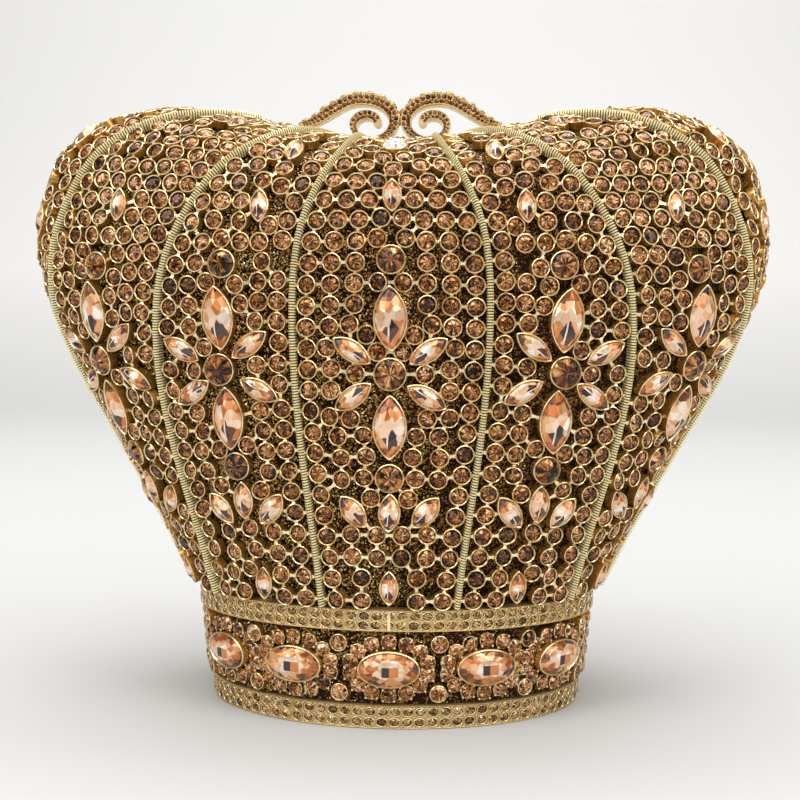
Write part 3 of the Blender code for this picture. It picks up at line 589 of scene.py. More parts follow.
def joint_model(width, length):
    """A low bar with rounded edges that covers the joint of a band."""
    open_primitive(bpy.ops.mesh.primitive_cube_add, size=1, scale=(width, length, 0.9 * MM))
    bpy.ops.mesh.select_all(action="SELECT")
    bpy.ops.mesh.bevel(offset=0.15 * MM, segments=2)
    return Model(close_primitive(), smooth=True)


def bridge_model():
    """A neck of unit length between two settings: wide at its ends, thin and low in its middle."""
    open_primitive(bpy.ops.mesh.primitive_cube_add, size=1)
    bpy.ops.mesh.bisect(plane_co=(0, 0, 0), plane_no=(1, 0, 0))
    made = close_primitive()
    for vert in made.data.vertices:
        end = abs(vert.co.x) > 0.1
        width = (1.7 if end else 0.9) * MM * (0.6 if vert.co.z > 0 else 1)
        top = (0.28 if end else 0.08) * MM
        vert.co = (vert.co.x, copysign(width / 2, vert.co.y), top if vert.co.z > 0 else -1.2 * MM)
    return Model(made, smooth=True)


# Finishes

class Value:
    """A socket of a finish's nodes, on which arithmetic adds Math nodes."""

    def __init__(self, finish, socket):
        self.finish, self.socket = finish, socket

    def math(self, operation, *others):
        values = dict(enumerate((self, *others)))
        return self.finish.add("ShaderNodeMath", values, operation=operation)

    def __add__(self, other):
        return self.math("ADD", other)

    def __mul__(self, other):
        return self.math("MULTIPLY", other)

    def __sub__(self, other):
        return self.math("SUBTRACT", other)

    def __rsub__(self, other):
        return self.finish.add("ShaderNodeMath", {0: other, 1: self}, operation="SUBTRACT")

    def __truediv__(self, other):
        return self.math("DIVIDE", other)

    __radd__, __rmul__ = __add__, __mul__


class Finish:
    """A material whose nodes are written as expressions."""

    def __init__(self, name, **plain):
        self.material = bpy.data.materials.new(name)
        self.material.use_nodes = True
        self.tree = self.material.node_tree
        self.shader = self.tree.nodes["Principled BSDF"]
        for socket, value in plain.items():
            name = socket.replace("_", " ").title().replace("Ior", "IOR")
            self.shader.inputs[name].default_value = value

    def add(self, kind, values=(), output=0, stops=None, **settings):
        """Any node, with its settings set first and then its sockets joined."""
        node = self.tree.nodes.new(kind)
        for key, value in settings.items():
            setattr(node, key, value)
        if stops:
            ramp = node.color_ramp.elements
            while len(ramp) < len(stops):
                ramp.new(0.5)
            for element, (place, colour) in zip(ramp, stops):
                element.position, element.color = place, (*colour, 1)
        for socket, value in dict(values).items():
            self.join(value, node.inputs[socket])
        return Value(self, node.outputs[output])

    def join(self, value, socket):
        if isinstance(value, Value):
            self.tree.links.new(value.socket, socket)
        else:
            socket.default_value = value

    def set(self, **values):
        """Joins what changes over the surface to the shader."""
        for name, value in values.items():
            self.join(value, self.shader.inputs[name.replace("_", " ").title()])

    def place(self, output="Object"):
        return self.add("ShaderNodeTexCoord", output=output)

    def noise(self, scale, detail):
        values = {"Vector": self.place(), "Scale": scale, "Detail": detail}
        return self.add("ShaderNodeTexNoise", values)

    def cells(self, scale, where=None, output="Color"):
        values = {"Vector": where or self.place(), "Scale": scale}
        return self.add("ShaderNodeTexVoronoi", values, output=output)

    def parts(self, vector, count=2):
        """The first numbers of a vector."""
        return [self.add("ShaderNodeSeparateXYZ", {0: vector}, output=i) for i in range(count)]

    def point(self, x, y, z):
        return self.add("ShaderNodeCombineXYZ", {0: x, 1: y, 2: z})

    def face_value(self, name):
        return self.add("ShaderNodeAttribute", attribute_name=name, output="Fac")

    def blend(self, a, b, factor, blend_type="MIX"):
        return self.add("ShaderNodeMix", {0: factor, 6: a, 7: b}, output=2, data_type="RGBA",
                        blend_type=blend_type)

    def ramp(self, value, stops):
        return self.add("ShaderNodeValToRGB", {0: value}, stops=stops)

    def split(self, colour, channel):
        return self.add("ShaderNodeSeparateColor", {0: colour}, output=channel)

    def turned(self, vector, operation, values=()):
        """A vector after one step of vector maths."""
        return self.add("ShaderNodeVectorMath", {0: vector, **dict(values)}, operation=operation)

    def bump(self, height, strength, distance):
        values = {"Height": height, "Strength": strength, "Distance": distance}
        return self.add("ShaderNodeBump", values)


def gilt(name, bright, cloudy, flank, roughness, metallic):
    """Plated metal, cloudy and finely scratched, with painted light where it looks outward and
    painted shade, a deeper colour, on its flanks. Worn plating is a little chalky, so it is less
    than fully metallic."""
    made = Finish(name, metallic=metallic)
    cloud = made.noise(170, 3.0)
    fine = made.noise(2600, 2.0)
    top = made.ramp(cloud, ((0.3, cloudy), (0.62, bright)))
    # Painted light and shade: the flank colour is painted shade and the top colour painted light, mixed
    # by the face's tone
    made.set(base_color=made.blend((*flank, 1), top, made.face_value("tone")),
             roughness=fine * 0.2 + (roughness - 0.1),
             normal=made.bump(fine, 0.25, 0.00006))
    return made.material


def stone_parts(made):
    """Place on the stone's own plan, and the shade of the stone and of the facet."""
    return *made.parts(made.place("UV")), made.face_value("shade"), made.face_value("tone")


def length_of(u, v):
    return (u * u + v * v).math("SQRT")


def above_none(value):
    return value.math("MAXIMUM", 0.0)


def round_crystal(name, stops, lift=0.0):
    """A foiled round stone: thin dark rays among small bright facets, and now and then a
    stone that lies dark."""
    made = Finish(name, metallic=0.35, roughness=0.13, specular_ior_level=0.35, coat_weight=0.18,
                  coat_roughness=0.04)
    u, v, shade, tone = stone_parts(made)
    radius = length_of(u, v)
    turn = v.math("ARCTAN2", u)
    where = made.point(turn * (16 / (2 * pi)) + shade * 7.0, radius * 2.6, shade * 37.0)
    shard = made.split(made.cells(1.0, where), 0)
    ray = ((turn * 8 + shade * 6).math("COSINE") * 0.5 + 0.5).math("POWER", 2.5)
    star = ray * above_none(1.1 - radius)
    dark = shade.math("LESS_THAN", 0.05) * 0.14
    key = tone * 0.28 + shard * 0.66 + shade * 0.16 - star * 0.45 - dark + (lift - 0.045)
    made.set(base_color=made.ramp(key, stops))
    return made.material


def long_crystal(name, stops, oval=False):
    """A large foiled stone of flat shards, pale across its middle and orange at its ends. A navette has
    a painted dark reflection, a wedge in its lower half crossed by a painted highlight streak, and an
    oval the painted reflection of a window."""
    made = Finish(name, metallic=0.3, roughness=0.1, specular_ior_level=0.4, coat_weight=0.25,
                  coat_roughness=0.03)
    u, v, shade, tone = stone_parts(made)
    grain = (4.4, 3.2) if oval else (3.6, 2.4)
    where = made.point(u * grain[0], v * grain[1], shade * 37.0)
    shard = made.split(made.cells(1.0, where), 0)
    along, aside = made.parts(made.cells(1.0, where, "Position"))
    along, aside = along / grain[0], aside / grain[1]
    key = shard * 0.46 + tone * 0.16 + (0.56 if oval else 0.46)
    if oval:
        key = key - above_none(length_of(along, aside) - 0.3) * 0.75 - (1 - aside) * 0.07
        pane = ((u - 0.06).math("ABSOLUTE") * 1.05).math("MAXIMUM", (v + 0.05).math("ABSOLUTE"))
        window = pane.math("LESS_THAN", 0.3)
        left = u.math("LESS_THAN", 0.03)
        key = key * (1 - window) + window * (0.45 - left * 0.38)
    else:
        key = key - above_none(along - 0.1) * 0.85 - above_none(-0.15 - along) * 0.55
        # Painted dark reflection: a wedge in the navette's lower half, crossed by a painted highlight
        # streak
        low = ((u * 0.5 + along * 0.5 + 0.38) * 2.7).math("ABSOLUTE")
        side = ((v * 0.5 + aside * 0.5 + 0.04) * 1.9).math("ABSOLUTE")
        dark_reflection = above_none((1 - low - side) * 8).math("MINIMUM", 1.0)
        highlight_streak = (v - 0.07 + u * 0.1).math("ABSOLUTE").math("LESS_THAN", 0.045)
        key = key * (1 - dark_reflection) + dark_reflection * (shard * 0.2 + 0.02 + highlight_streak * 0.8)
    made.set(base_color=made.ramp(key, stops))
    return made.material


def glitter(name, bare):
    """Glitter cloth: dark ground with gold and copper flakes, thicker in drifts."""
    made = Finish(name, specular_ior_level=0.12)
    drift = made.noise(190, 2.0)
    flakes = made.cells(3300)
    first, second = made.split(flakes, 0), made.split(flakes, 1)
    lit = (first + drift * 0.9).math("GREATER_THAN", bare)
    colour = made.ramp(second, ((0.0, (0.14, 0.055, 0.014)), (0.4, (0.44, 0.25, 0.065)),
                                (0.75, (0.76, 0.57, 0.21)), (1.0, (1.0, 0.92, 0.58))))
    ground = made.ramp(first, ((0.0, (0.006, 0.0025, 0.0015)), (1.0, (0.045, 0.016, 0.006))))
    scatter = made.turned(flakes, "SUBTRACT", {1: (0.5, 0.5, 0.5)})
    scatter = made.turned(scatter, "SCALE", {"Scale": 1.1})
    tipped = made.turned(made.add("ShaderNodeNewGeometry", output="Normal"), "ADD", {1: scatter})
    made.set(base_color=made.blend(ground, colour, lit), metallic=lit * 0.85,
             roughness=0.55 - lit * 0.27, normal=made.turned(tipped, "NORMALIZE"))
    return made.material


def leather(name):
    """Soft gilded leather: pebbled grain, rubbed brighter on its swellings."""
    made = Finish(name)
    grain = made.cells(1500, output="Distance")
    cloud = made.noise(60, 4.0)
    fine = made.noise(5000, 2.0)
    colour = made.ramp(cloud, ((0.3, (0.34, 0.215, 0.085)), (0.7, (0.50, 0.34, 0.15))))
    colour = made.blend(colour, (0.72, 0.54, 0.27, 1), (1 - grain * 2.2) * 0.3)
    made.set(base_color=colour, roughness=0.42 + fine * 0.2, metallic=0.25 + cloud * 0.2,
             normal=made.bump(grain + fine * 0.3, 0.5, 0.0002))
    return made.material


CHAMPAGNE = ((0.0, (0.006, 0.003, 0.002)), (0.22, (0.035, 0.011, 0.003)), (0.4, (0.17, 0.052, 0.012)),
             (0.56, (0.40, 0.145, 0.034)), (0.72, (0.62, 0.29, 0.085)), (0.86, (0.84, 0.55, 0.27)),
             (0.97, (1.0, 0.92, 0.76)))
PEACH = ((0.0, (0.020, 0.017, 0.018)), (0.13, (0.070, 0.052, 0.052)), (0.2, (0.13, 0.06, 0.035)),
         (0.3, (0.36, 0.10, 0.025)), (0.42, (0.64, 0.20, 0.045)), (0.57, (0.80, 0.40, 0.17)),
         (0.72, (0.86, 0.60, 0.40)), (0.88, (0.90, 0.72, 0.57)), (1.0, (0.98, 0.92, 0.86)))
SMOKE = ((0.0, (0.018, 0.008, 0.003)), (0.3, (0.11, 0.048, 0.012)), (0.55, (0.38, 0.19, 0.05)),
         (0.78, (0.80, 0.54, 0.22)), (1.0, (1.0, 0.94, 0.72)))
CLEAR = ((0.0, (0.05, 0.045, 0.04)), (0.3, (0.40, 0.36, 0.32)), (0.5, (0.80, 0.78, 0.75)),
         (1.0, (1.0, 0.99, 0.97)))

BRIGHT_GILT = gilt("bright_gilt", (1.0, 0.87, 0.54), (0.94, 0.74, 0.37), (0.54, 0.30, 0.07), 0.24, 0.75)
PALE_GILT = gilt("pale_gilt", (1.0, 0.89, 0.52), (0.98, 0.79, 0.38), (0.52, 0.31, 0.09), 0.28, 0.65)
# Its nearly black flank colour is the painted shade in the milled wires' grooves
MILLED_GILT = gilt("milled_gilt", (1.0, 0.90, 0.50), (1.0, 0.85, 0.42), (0.10, 0.06, 0.015), 0.38, 0.3)
SCROLL_GILT = gilt("scroll_gilt", (1.0, 0.82, 0.40), (0.85, 0.60, 0.22), (0.62, 0.40, 0.14), 0.28, 0.8)
CHAMPAGNE_CRYSTAL = round_crystal("champagne_crystal", CHAMPAGNE)
PEACH_CRYSTAL = long_crystal("peach_crystal", PEACH)
OVAL_CRYSTAL = long_crystal("oval_crystal", PEACH, oval=True)
CLEAR_CRYSTAL = round_crystal("clear_crystal", CLEAR, lift=0.25)
HALO_CRYSTAL = round_crystal("halo_crystal", CHAMPAGNE, lift=0.08)
PAVE_CRYSTAL = round_crystal("pave_crystal", SMOKE, lift=0.04)
GLITTER_CLOTH = glitter("glitter_cloth", 1.08)
# A copy of the glitter cloth with fewer bright flakes, darker: painted shade for the base's ground
# between the bands
SHADED_GLITTER = glitter("shaded_glitter", 1.22)
LINING_LEATHER = leather("lining_leather")


# Crown: motif, small stones, lattice

def motif_step(gore, share, across, up):
    return crown_step(gore_bearing(gore, share), share, across, up)


def motif(gore):
    """The settings of one gore: kind, bearing, share of the way up, tilt in radians."""
    order = abs(gore)
    if order == 3:
        return [(SMALL_NAVETTE, gore_bearing(gore, share), share, pi / 2)
                for share in SEAM_NAVETTE_SHARES]
    places = []
    for level, (kind, shares, sidestep) in enumerate(UPRIGHT_SETTINGS):
        kind = CLEAR_ROUND if level == gore == 0 else kind
        aside = sidestep * gore if order == 1 else 0
        places.append((kind, *motif_step(gore, shares[order], aside, 0), pi / 2))
    for turn in PETAL_BEARINGS:
        across = PETAL_RADIUS * cos(radians(turn))
        rise = PETAL_RADIUS * sin(radians(turn))
        if order == 1:
            across += FLOWER_SIDESTEP * gore
        step = motif_step(gore, FLOWER_SHARES[order], across, rise)
        places.append((LONG_NAVETTE, *step, radians(turn)))
    for side in (-1, 0, 1):
        shares = FAN_SHARES if side else FAN_CENTRE_SHARES
        step = motif_step(gore, shares[order], side * FAN_REACHES[order], 0)
        places.append((FAN_NAVETTE, *step, radians(90 - side * FAN_TILT)))
    return places


def crowding(seat, point, clear):
    """How far inside a motif setting's surroundings a point lies: under 1 is inside."""
    (length, width, _, _), inverse = seat
    local = inverse @ point
    power = 1.6 if length > width else 2.0
    reaches = (length / 2 + clear, width / 2 + clear, width / 2 + clear)
    return sum((abs(part) / reach) ** power for part, reach in zip(local, reaches))


def gore_margins(gore):
    """How far the small stones stand off the two sides of a gore."""
    return SEAM_MARGIN if gore == -3 else RIB_MARGIN, SEAM_MARGIN if gore == 3 else RIB_MARGIN


def row_bearings(gore, share, pitch):
    """Bearings of the small stones in one row of a gore, evenly spaced between its ribs."""
    samples = np.linspace(*gore_sides(gore, share), 17)
    run = run_along([crown_point(b, share) for b in samples])
    margins = gore_margins(gore)
    room = run[-1] - sum(margins)
    if room < -1.5 * MM:
        return []
    room = max(room, 0)
    count = int(room / pitch) + 1
    spots = margins[0] + (room * np.arange(count) / (count - 1) if count > 1 else np.array([room / 2]))
    return [float(b) for b in np.interp(spots, run, samples)]


def row_shares(gore):
    """Shares of the way up of a gore's rows, evenly spaced along its middle."""
    samples = np.linspace(0, 1, 81)
    run = run_along([crown_point(gore_bearing(gore, s), s) for s in samples])
    start, end = ROWS_START, run[-1] - ROWS_END
    count = round((end - start) / ROW_PITCH) + 1
    return [float(s) for s in np.interp(np.linspace(start, end, count), run, samples)]


def kept_in_gore(gore, bearing, share):
    """The bearing, held off the ribs or the seam at the gore's sides."""
    left, right = gore_sides(gore, share)
    across = (crown_point(right, share) - crown_point(left, share)).length / (right - left)
    first, last = gore_margins(gore)
    first, last = left + first / across, right - last / across
    return min(max(bearing, first), last) if first < last else (left + right) / 2


class Motif:
    """The places that the motif's settings take, for the small stones to keep clear of."""

    def __init__(self, settings):
        self.seats = [(kind, seat_matrix(b, s, tilt)) for kind, b, s, tilt in settings]
        self.middles = np.array([place.translation for _, place in self.seats])
        self.seats = [(kind, place.inverted()) for kind, place in self.seats]

    def levels(self, point, clear):
        """How far the point is out of each setting near it, and that setting's middle."""
        reach = np.linalg.norm(self.middles - point, axis=1)
        for i in np.flatnonzero(reach < MOTIF_REACH):
            yield crowding(self.seats[i], point, clear), Vector(self.middles[i])

    def leaves(self, point, share):
        return all(level > share for level, _ in self.levels(point, CHATON_RADIUS))

    def push(self, point):
        off = Vector()
        for level, middle in self.levels(point, 2.5 * MM):
            if 0.55 < level < 1:
                off += (point - middle).normalized() * ((1 - level) * 2.2 * MM)
        return off


def seat_on_crown(gore, bearing, share):
    return gore, bearing, share, crown_point(bearing, share)


def parted(seats, taken, rounds, reach):
    """The seats after neighbours nearer than the reach, and the motif, have pushed them off."""
    """The seats after neighbours nearer than the reach, and the motif, have pushed them off."""
    for _ in range(rounds):
        tree = tree_of([seat[3] for seat in seats])
        moved = []
        for i, (gore, b, s, here) in enumerate(seats):
            push = taken.push(here)
            near = reach * openness(s)
            for other, j, distance in tree.find_range(here, near):
                if j != i and distance > 0:
                    push += (here - other) * ((near - distance) / distance * PUSH_SHARE)
            if push.length > LEAST_PUSH and s < 0.97:
                _, across, up, _ = crown_frame(b, s)
                b, s = crown_step(b, s, push.dot(across), push.dot(up))
                s = min(max(s, LOWEST_SHARE), HIGHEST_SHARE)
                b = kept_in_gore(gore, b, s)
            moved.append(seat_on_crown(gore, b, s))
        seats = moved
    return seats


def openness(share):
    """How much farther apart than at the crest the small stones stand toward the foot."""
    return 1 + FOOT_OPENNESS * max(0.0, 1 - share / OPEN_BELOW)


def kept_apart(seats, nearest):
    """The seats in their order, without those too near to one kept before."""
    kept, points = [], np.full((len(seats), 3), 1.0)
    for seat in seats:
        if np.linalg.norm(points[:len(kept) + 1] - seat[3], axis=1).min() > nearest * openness(seat[2]):
            points[len(kept)] = seat[3]
            kept.append(seat)
    return kept


def chaton_seats(settings):
    """Bearing, share and point of each small stone: rows between the ribs, parted by the
    motif, then filled up from many close places, with the nearest thinned out."""
    taken = Motif(settings)

    def row(gore, share, pitch):
        return [seat_on_crown(gore, bearing, share) for bearing in row_bearings(gore, share, pitch)]

    rows, places = [], []
    for gore in range(-3, 4):
        for share in row_shares(gore):
            rows += row(gore, share, COLUMN_PITCH * openness(share))
        for share in FILL_ROWS:
            places += row(gore, share, FILL_PITCH)
    places = [place for place in places if taken.leaves(place[3], 0.9)]
    seats = [seat for seat in rows if taken.leaves(seat[3], 0.6)]
    for clear in FILL_DISTANCES:
        seats = parted(kept_apart(seats + places, clear), taken, PARTING_ROUNDS, PARTING_REACH)
        seats = [seat for seat in seats if taken.leaves(seat[3], 0.85)]
    return [seat[1:] for seat in kept_apart(seats + places, NEAREST_STONES)]


def tilted(place, tilt):
    """A place with the small tilt that a stone set by hand has."""
    a, b = np.radians(random.normal(0, tilt, 2))
    return place @ Matrix.Rotation(a, 4, "X") @ Matrix.Rotation(b, 4, "Y")


def jiggled(place, tilt=4.0):
    """The same with any turn, for a round stone."""
    return tilted(place, tilt) @ Matrix.Rotation(random.uniform(0, 2 * pi), 4, "Z")


def bridge_place(start, end, out, trim_start, trim_end):
    """Matrix that lays the unit bar from one point to another, less what the settings cover."""
    along = (end - start).normalized()
    first, last = start + along * trim_start, end - along * trim_end
    side = out.cross(along).normalized()
    return placed((first + last) / 2, along * (last - first).length, side, along.cross(side))


def lattice_bridges(seats, settings):
    """Bars between neighbouring settings, and from the settings beside a rib to the rib."""
    points = [p for _, _, p in seats]
    outs = [crown_frame(b, s)[3] for b, s, _ in seats]
    tree = tree_of(points)
    pairs, places = set(), []
    for i, p in enumerate(points):
        near = [(d, j) for _, j, d in tree.find_n(p, 4) if j != i and d < BRIDGE_REACH]
        pairs.update((min(i, j), max(i, j)) for _, j in near[:2 + (i % 2)])
    trim = CHATON_RADIUS - 0.15 * MM
    for i, j in sorted(pairs):
        places.append(bridge_place(points[i], points[j], (outs[i] + outs[j]) / 2, trim, trim))
    for b, s, p in seats:
        for pair in RIBS:
            there = crown_point(rib_bearing(pair, s), s)
            if 2.5 * MM < (there - p).length < 4.3 * MM and s < RIB_TOP_SHARE:
                places.append(bridge_place(p, there, crown_frame(b, s)[3], trim, 0.4 * MM))
    for kind, b, s, tilt in settings:
        seat = seat_matrix(b, s, tilt)
        for q, j, distance in tree.find_n(seat.translation, 4):
            reach = seat.inverted() @ q
            edge = kind[0] / 2 if abs(reach.x) > abs(reach.y) * 1.6 else kind[1] / 2
            if CHATON_RADIUS + edge < distance < CHATON_RADIUS + edge + 2.0 * MM:
                places.append(bridge_place(q, seat.translation, outs[j], trim, edge - 0.5 * MM))
    return places


def crown_pieces():
    settings = [place for gore in range(-3, 4) for place in motif(gore)]
    seats = chaton_seats(settings)
    ring = wall_model(CHATON_RADIUS, CHATON_RADIUS, 14, CHATON_FOOT, CHATON_TOP, CHATON_WALL)
    radius = CHATON_RADIUS - CHATON_WALL * 1.25
    stone = stone_model(radius, radius, (1, 0.0, 12, 0), (0.56, 0.62, 6, 0.5), (0.08, -1.2, 3, 0))
    places = [jiggled(seat_matrix(b, s, 0, random.normal(0, 0.12 * MM)), 6) for b, s, _ in seats]
    lattice = [ring.set_at(places), bridge_model().set_at(lattice_bridges(seats, settings))]
    add_halves("lattice", lattice, [BRIGHT_GILT], ["cage"])
    add_halves("chatons", [stone.set_at(places)], [CHAMPAGNE_CRYSTAL])
    metals, stones = [], []
    for kind in (BIG_NAVETTE, LONG_NAVETTE, FAN_NAVETTE, SMALL_NAVETTE, FLOWER_ROUND, SMALL_ROUND,
                 CLEAR_ROUND):
        metal, gem = setting_models(kind)
        spots = [seat_matrix(b, s, tilt + random.normal(0, 0.03))
                 for k, b, s, tilt in settings if k is kind]
        finish = 2 if kind is CLEAR_ROUND else 1 if kind in (FLOWER_ROUND, SMALL_ROUND) else 0
        metals.append(metal.set_at(spots))
        stones.append(gem.set_at(spots, finish))
    add_halves("motif_bezels", metals, [BRIGHT_GILT])
    add_halves("motif_stones", stones, [PEACH_CRYSTAL, CHAMPAGNE_CRYSTAL, CLEAR_CRYSTAL])


def milled_rib(pair):
    """A wire with a milled back: narrow grooves between flat ridges, the grooves painted dark as shade.
    """
    samples = np.linspace(0, RIB_TOP_SHARE, 500)
    run = run_along([crown_point(rib_bearing(pair, s), s) for s in samples])
    grooves = range(int(run[-1] / MILLING_PITCH))
    spots = np.array([k * MILLING_PITCH + step for k in grooves for step in MILLING_STEPS])
    rows = []
    for i, share in enumerate(np.interp(spots, run, samples)):
        here, _, _, out = crown_frame(rib_bearing(pair, share), share)
        ahead = crown_point(rib_bearing(pair, share + 0.01), share + 0.01) - here
        side = ahead.cross(out).normalized()
        high = 0.6 if i % 4 < 2 else 1.0
        half = RIB_WIDTH / 2 * (0.68 + 0.2 * high)
        flank = ((-1, -0.0013), (-1, 0.0002), (-0.8, RIB_HEIGHT * 0.75 * high))
        row = flank + ((0, (RIB_HEIGHT + 0.0003) * high),) + tuple((-a, z) for a, z in reversed(flank))
        rows.append([here + side * (aside * half) + out * lift for aside, lift in row])
    made = loft(rows)
    # Painted shade: groove faces take the milled gilt's nearly black flank colour, ridge tops its
    # bright one
    groove_shading = np.tile((0.0, 0.4, 1.0, 0.4), len(rows) // 4 + 1)[:len(rows) - 1]
    made["tone"][:len(groove_shading) * len(rows[0])] = np.repeat(groove_shading, len(rows[0]))
    return made


def lining_rows(inset, floor):
    """Rows of a shell of the lining, from the floor up to the ridge."""
    bearings = [pi * (c / 72 - 0.5) for c in range(73)]
    rows = []
    for rise, rounding in ((0.0, 0.0012), (0.0004, 0.0004), (0.0016, 0), (0.0090, 0), (0.0180, 0),
                           (FOOT - floor, 0)):
        height = floor + rise
        draft = LINER_DRAFT * (1 - rise / (FOOT - floor)) + rounding
        half_width, half_depth, _ = well(min(height, UPPER_BAND_TOP), -(JOINT_GAP + inset + draft))
        rows.append([base_point(b, half_width, half_depth, height) for b in bearings])
    for i in range(1, 49):
        share = (i / 48) ** 0.78
        rows.append([crown_point(b, share, LINER_INSET + inset) for b in bearings])
    return rows


def lining_chunk():
    """The lining: glitter cloth outside, leather inside, joined along the seam."""
    outer, inner = lining_rows(0, LINER_FLOOR), lining_rows(LINER_WALL, LINER_FLOOR + LINER_WALL)
    rows, columns = len(outer), len(outer[0])
    shift = rows * columns
    points = [tuple(p) for shell in (outer, inner) for row in shell for p in row]
    outside, inside = [], []
    for r in range(rows - 1):
        for c in range(columns - 1):
            a = r * columns + c
            quad = (a, a + 1, a + 1 + columns, a + columns)
            outside.append(quad)
            inside.append(tuple(v + shift for v in reversed(quad)))
    floor = tuple(range(columns))
    outside.append(tuple(reversed(floor)))
    inside.append(tuple(v + shift for v in floor))
    edge = [r * columns for r in range(rows)]
    edge += [(rows - 1) * columns + c for c in range(1, columns)]
    edge += [r * columns + columns - 1 for r in reversed(range(rows - 1))] + [0]
    for a, b in zip(edge, edge[1:]):
        inside.append((a, b, b + shift, a + shift))
    made = chunk_of(points, outside + inside)
    made["slot"] = np.array([0] * len(outside) + [1] * len(inside))
    return made


def rim_chunk():
    """The seam frame: a rounded strip along the crown's outline, from foot to foot."""
    shares = [(i / 60) ** 0.8 for i in range(61)]
    bearings = [pi * (0.5 - i / 48) for i in range(1, 48)]
    section = ((-RIM_PROUD, 0.0006), (-RIM_PROUD, 0.0024), (-RIM_PROUD + 0.0004, RIM_DEPTH),
               (RIM_INSET - 0.0004, RIM_DEPTH), (RIM_INSET, 0.0026), (RIM_INSET, 0.0005),
               (RIM_INSET - 0.0004, SEAM_HALF_GAP), (-RIM_PROUD + 0.0004, SEAM_HALF_GAP))
    loops = []
    for inset, back in section:
        loop = [crown_point(pi / 2, s, inset) for s in shares]
        loop += [crown_point(b, 1, inset) for b in bearings]
        loop += [crown_point(-pi / 2, s, inset) for s in reversed(shares)]
        loops.append([Vector((p.x, -back, p.z)) for p in loop])
    return loft(list(zip(*loops)))


# Base: pavé bands, ovals and their halos

def band_sweep(band):
    """A band's metal: rolled edges above and below a set-back ground."""
    bottom, top, edge = band.bottom, band.bottom + band.height, PAVE_EDGE
    outer = ((0.25, bottom), (0, bottom + 0.15 * MM), (0, bottom + edge - 0.1 * MM),
             (0.12, bottom + edge), (0.45, bottom + edge), (0.45, top - edge), (0.12, top - edge),
             (0, top - edge + 0.1 * MM), (0, top - 0.15 * MM), (0.25, top))
    section = [(band.half_width - back * MM, band.half_depth - back * MM, z) for back, z in outer]
    return base_strip(section + [well(z) for z in (top, bottom)])


def band_places(band, height, back, start):
    """Places along a band at an even pitch, from seam to seam: X along it, Z out of it."""
    path = base_path(band.half_width, band.half_depth, height, 180)
    run = run_along(path)
    room = run[-1] - 0.4 * MM
    count = round(room / BAND_PITCH)
    upright = Vector((0, 0, 1))
    places = []
    for k in range(count):
        here, i = spot_on(path, run, 0.2 * MM + room * (k + start) / count)
        before, after = path[max(i - 2, 0)], path[min(i + 1, len(path) - 1)]
        along = (after - before).normalized()
        out = along.cross(upright)
        places.append(placed(here - out * back, along, upright, out))
    return places


def cut_round_hinge(band):
    """The lower band's metal with its ends cut back round the hinge, so that the halves can tip."""
    middle = (0, 0, HINGE_AXIS_HEIGHT)
    open_primitive(bpy.ops.mesh.primitive_cylinder_add, vertices=48, radius=HINGE_RELIEF_RADIUS,
                   depth=0.11, location=middle, rotation=(0, pi / 2, 0))
    bpy.ops.mesh.select_all(action="SELECT")
    bpy.ops.mesh.bisect(plane_co=middle, plane_no=(0, 0, 1), use_fill=True, clear_outer=True)
    room = close_primitive()
    whole = bare_object("band", band)
    cut = whole.modifiers.new("hinge_room", "BOOLEAN")
    cut.operation, cut.solver, cut.object = "DIFFERENCE", "EXACT", room
    bpy.context.view_layer.objects.active = whole
    bpy.ops.object.modifier_apply(modifier=cut.name)
    mesh = whole.data
    made = chunk_of([tuple(v.co) for v in mesh.vertices], [tuple(f.vertices) for f in mesh.polygons])
    for scrap in (room, whole):
        bpy.data.objects.remove(scrap)
    return made


def off_hinge(places, reach):
    """The places on a band whose pieces stay out of the cut round the hinge."""
    return [p for p in places if p.translation.z > HINGE_AXIS_HEIGHT + reach
            or -p.translation.y > HINGE_RELIEF_RADIUS + reach]


def pave_bands():
    length, width = PAVE_STONE
    stone = stone_model(length, width, (1, 0.06, 12, 0), (0.55, 0.5, 6, 0.5), (0.08, -0.6, 3, 0))
    ring = wall_model(length + 0.14 * MM, width + 0.12 * MM, 14, -0.3 * MM, 0.42 * MM, 0.22 * MM)
    bead = bead_model(0.3 * MM)
    stones = []
    for band in (UPPER_BAND, LOWER_BAND):
        middle = band.bottom + band.height / 2
        gap = (band.height - 2 * PAVE_EDGE) / 4
        places = []
        for side in (-1, 1):
            places += band_places(band, middle + side * gap, 0.42 * MM, 0.5 + 0.04 * side)
        places = off_hinge(places, length + 0.2 * MM)
        stones.append(stone.set_at([tilted(p, 5) for p in places]))
        beads = []
        for level in (-1.8, 0, 1.8):
            beads += band_places(band, middle + level * gap, 0.32 * MM, 0.02)
        beads = off_hinge(beads, 0.4 * MM)
        sweep = band_sweep(band)
        sweep = cut_round_hinge(sweep) if band is LOWER_BAND else sweep
        # Painted shade: the band's metal, rolled edges too, is mixed more than half toward the gilt's
        # flank colour, for the shaded ground between the stones
        sweep["tone"] = sweep["tone"] * 0.45
        metal = [sweep, ring.set_at(places), bead.set_at(beads)]
        if band is UPPER_BAND:
            front = Matrix.Translation((0, -band.half_depth + 0.3 * MM, middle))
            joint = joint_model(0.8 * MM, band.height - 0.4 * MM)
            metal.append(joint.set_at([front @ Matrix.Rotation(pi / 2, 4, "X")]))
        add_halves(f"{band.name}_metal", metal, [PALE_GILT], [band.name])
    add_halves("pave_stones", stones, [PAVE_CRYSTAL])


